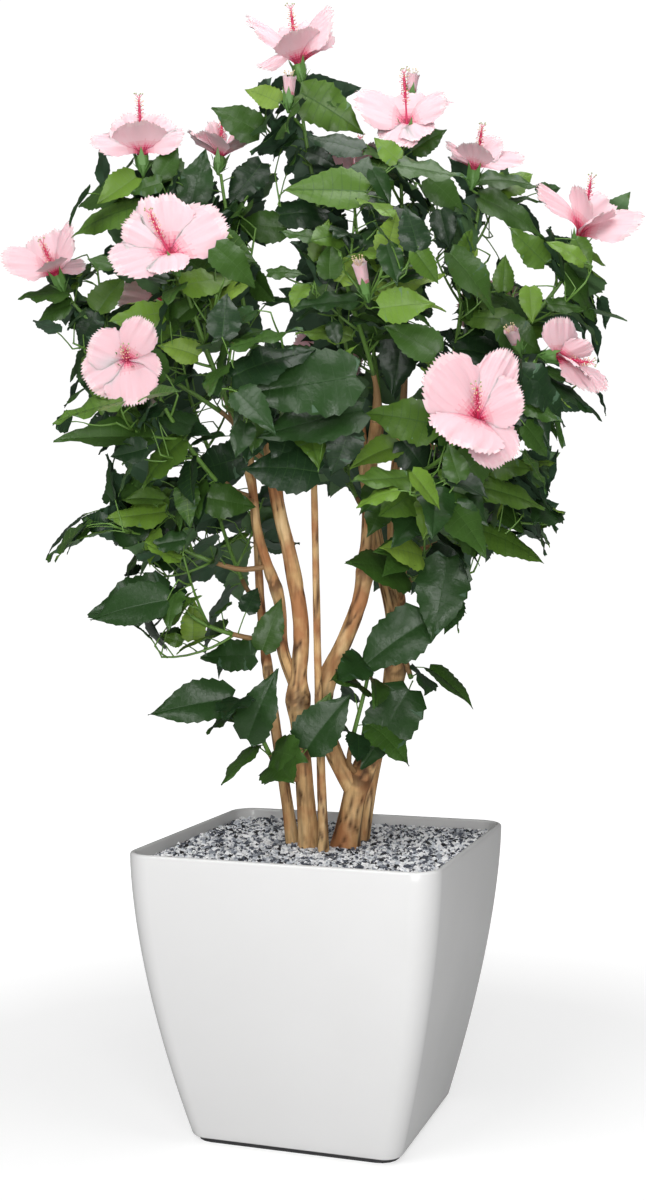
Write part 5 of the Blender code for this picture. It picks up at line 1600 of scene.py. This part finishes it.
def make_gravel(mats):
    """A dark bed, painted shade in the gaps between the chips, and two layers of chips that follow
    the heaps.
    """
    rises, spread = heap_heights()
    rng = random.Random(SEED * 5)
    shapes = [chip_shape(rng) for _ in range(CHIP_SHAPES)]
    half = pot_half_width(GRAVEL_TOP) - POT_WALL - GRAVEL_GAP
    corner = pot_corner(GRAVEL_TOP) - POT_WALL
    soup = Soup()
    # The bed takes the dark chip colour: painted shade that shows between the chips.
    bed = square_ring(half + 0.001, corner, GRAVEL_TOP - 0.004)
    ring = np.arange(len(bed))
    soup.add(np.vstack([bed, [[0, 0, GRAVEL_TOP - 0.004]]]),
             np.stack([ring, np.roll(ring, -1), np.full(len(bed), len(bed))], axis=-1),
             "chip_dark")
    cells = range(int(2 * half / CHIP_STEP))
    for layer, i, j in product(range(2), cells, cells):
        x = -half + (i + rng.random()) * CHIP_STEP
        y = -half + (j + rng.random()) * CHIP_STEP
        if not inside_ring(x, y, half, corner) or (layer and rng.random() < CHIP_MISSING):
            continue
        size = rng.uniform(*CHIP_SIZE)
        turn = Matrix.Rotation(rng.uniform(0, 6.3), 3, Vector(
            (rng.uniform(-1, 1), rng.uniform(-1, 1), 1)).normalized())
        z = GRAVEL_TOP - CHIP_SUNK + layer * rng.uniform(*CHIP_OVER)
        z += heap_rise(x, y, rises, spread)
        verts = size * shapes[rng.randrange(CHIP_SHAPES)] @ np.array(turn) + (x, y, z)
        soup.add(verts, CUBE_FACES, rng.choices(list(CHIP_COLOURS), CHIP_SHARE)[0])
    obj = soup.build("gravel_chips", mats, smooth=False)
    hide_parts("gravel")


# ---------------------------------------------------------------- stage
def seen_strength(tree, seen):
    """A strength that is low as a light, and seen, a value or an output, in the picture."""
    path = add_node(tree, "LightPath", {})
    strength = add_node(tree, "MapRange", {"Value": path.outputs["Is Camera Ray"],
                                           "To Min": STAGE_GLOW, "To Max": seen})
    return strength.outputs["Result"]


def make_stage():
    """A pale floor, a little brighter far out, where the lights don't reach."""
    floor, tree, shader = new_material("floor_white")
    place = add_node(tree, "TexCoord", {}).outputs["Object"]
    away = add_node(tree, "VectorMath", {0: place}, operation="LENGTH").outputs["Value"]
    far = add_node(tree, "MapRange", {"Value": away, "From Min": 0.7, "From Max": 1.7,
                                      "To Min": 0.61, "To Max": 1})
    feed(shader, {"Base Color": (0.5, 0.5, 0.5, 1), "Roughness": 0.9,
                  "Specular IOR Level": 0.1, "Emission Color": (1, 1, 1, 1),
                  "Emission Strength": seen_strength(tree, far.outputs["Result"])})
    mesh = bpy.data.meshes.new("floor")
    mesh.from_pydata([(x * FLOOR_HALF, y * FLOOR_HALF, 0)
                      for x, y in ((-1, -1), (1, -1), (1, 1), (-1, 1))], [], [(0, 1, 2, 3)])
    mesh.materials.append(floor)
    sheet = add_object("floor", mesh)


def make_world():
    """A white background that gives only a little light of its own."""
    world = bpy.data.worlds.new("studio")
    world.use_nodes = True
    feed(world.node_tree.nodes["Background"],
         {"Color": (1, 1, 1, 1), "Strength": seen_strength(world.node_tree, WORLD_SEEN)})
    bpy.context.scene.world = world
    bpy.context.scene.view_settings.view_transform = "Standard"


def make_lights():
    for name, (right, back, up), aim_height, size, power in LIGHTS:
        light = bpy.data.lights.new(name, "AREA")
        light.shape = "RECTANGLE"
        light.size, light.size_y = size
        light.energy = power
        obj = add_object(name, light)
        obj.location = RIGHT * right + BACK * back + UP * up
        aim = Vector((0, 0, aim_height)) - obj.location
        obj.rotation_euler = aim.to_track_quat("-Z", "Y").to_euler()


def make_camera():
    data = bpy.data.cameras.new("camera")
    data.sensor_width = 36
    data.lens = data.sensor_width * VIEW_LENGTH / (2 * VIEW_MIDDLE[1])
    camera = add_object("camera", data)
    place = Matrix((RIGHT, VIEW_UP, BACK)).transposed().to_4x4()
    place.translation = EYE
    camera.matrix_world = place
    bpy.context.scene.camera = camera


# ---------------------------------------------------------------- main
def make_plant(mats):
    """All masses: shoots and blooms first, then the leaves in view, then the others."""
    lines = {limb.name: limb_line(limb, LINE_STEP) for limb in LIMBS}
    limbs = {limb.name: limb for limb in LIMBS}
    mains, roots = main_shoots(lines)
    space, thicket = Space(mains), Thicket(lines.values())
    rng = random.Random(SEED)
    blades = [Blade(rng) for _ in range(BLADES)]
    soups = {group: (Soup(), Soup(), Soup()) for group in GROUPS}
    pieces = {name: soups[group] for group, members in GROUPS.items() for name in members}
    grown = {}
    for index, mass in enumerate(MASSES):
        leaves, twigs, petals = pieces[mass.name]
        main = mains[mass.name]
        grown[mass.name] = Growth(index, mass, main, roots[mass.name], space)
        add_lone_leaves(mass, main, leaves, twigs, blades, rng)
        for number, bloom in enumerate(mass.blooms):
            add_bloom(mass.name, bloom, main, petals, twigs,
                      random.Random(SEED * 3 + 2 * index + number))
            if mass.name in SHOWN or isinstance(bloom, Bud):
                thicket.keep_in_view(plant_place(bloom.middle), BLOOM_KEPT * bloom.size, 0.03)
    add_shown_leaves(grown, pieces, thicket, blades)
    for index, mass in enumerate(MASSES):
        leaves, twigs, _ = pieces[mass.name]
        add_grown_leaves(index, grown[mass.name], space, thicket, leaves, twigs, blades)
        grown[mass.name].add_twigs(twigs, limbs[mass.limb])
    for group, members in GROUPS.items():
        leaves, twigs, petals = soups[group]
        leaf_piece = leaves.build("leaves_" + group, mats)
        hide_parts(*members)
        for piece in (leaf_piece, twigs.build("twigs_" + group, mats),
                      petals.build("blooms_" + group, mats)):
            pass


def main():
    mats = make_materials()
    # The planter's foot gets the near-black of painted shadow.
    frame["nodes"]["pot_foot"].data.materials[0] = mats["foot_dark"]
    make_camera()
    make_pot(mats)
    make_gravel(mats)
    make_limbs(mats)
    make_plant(mats)
    make_stage()
    make_world()
    make_lights()


main()
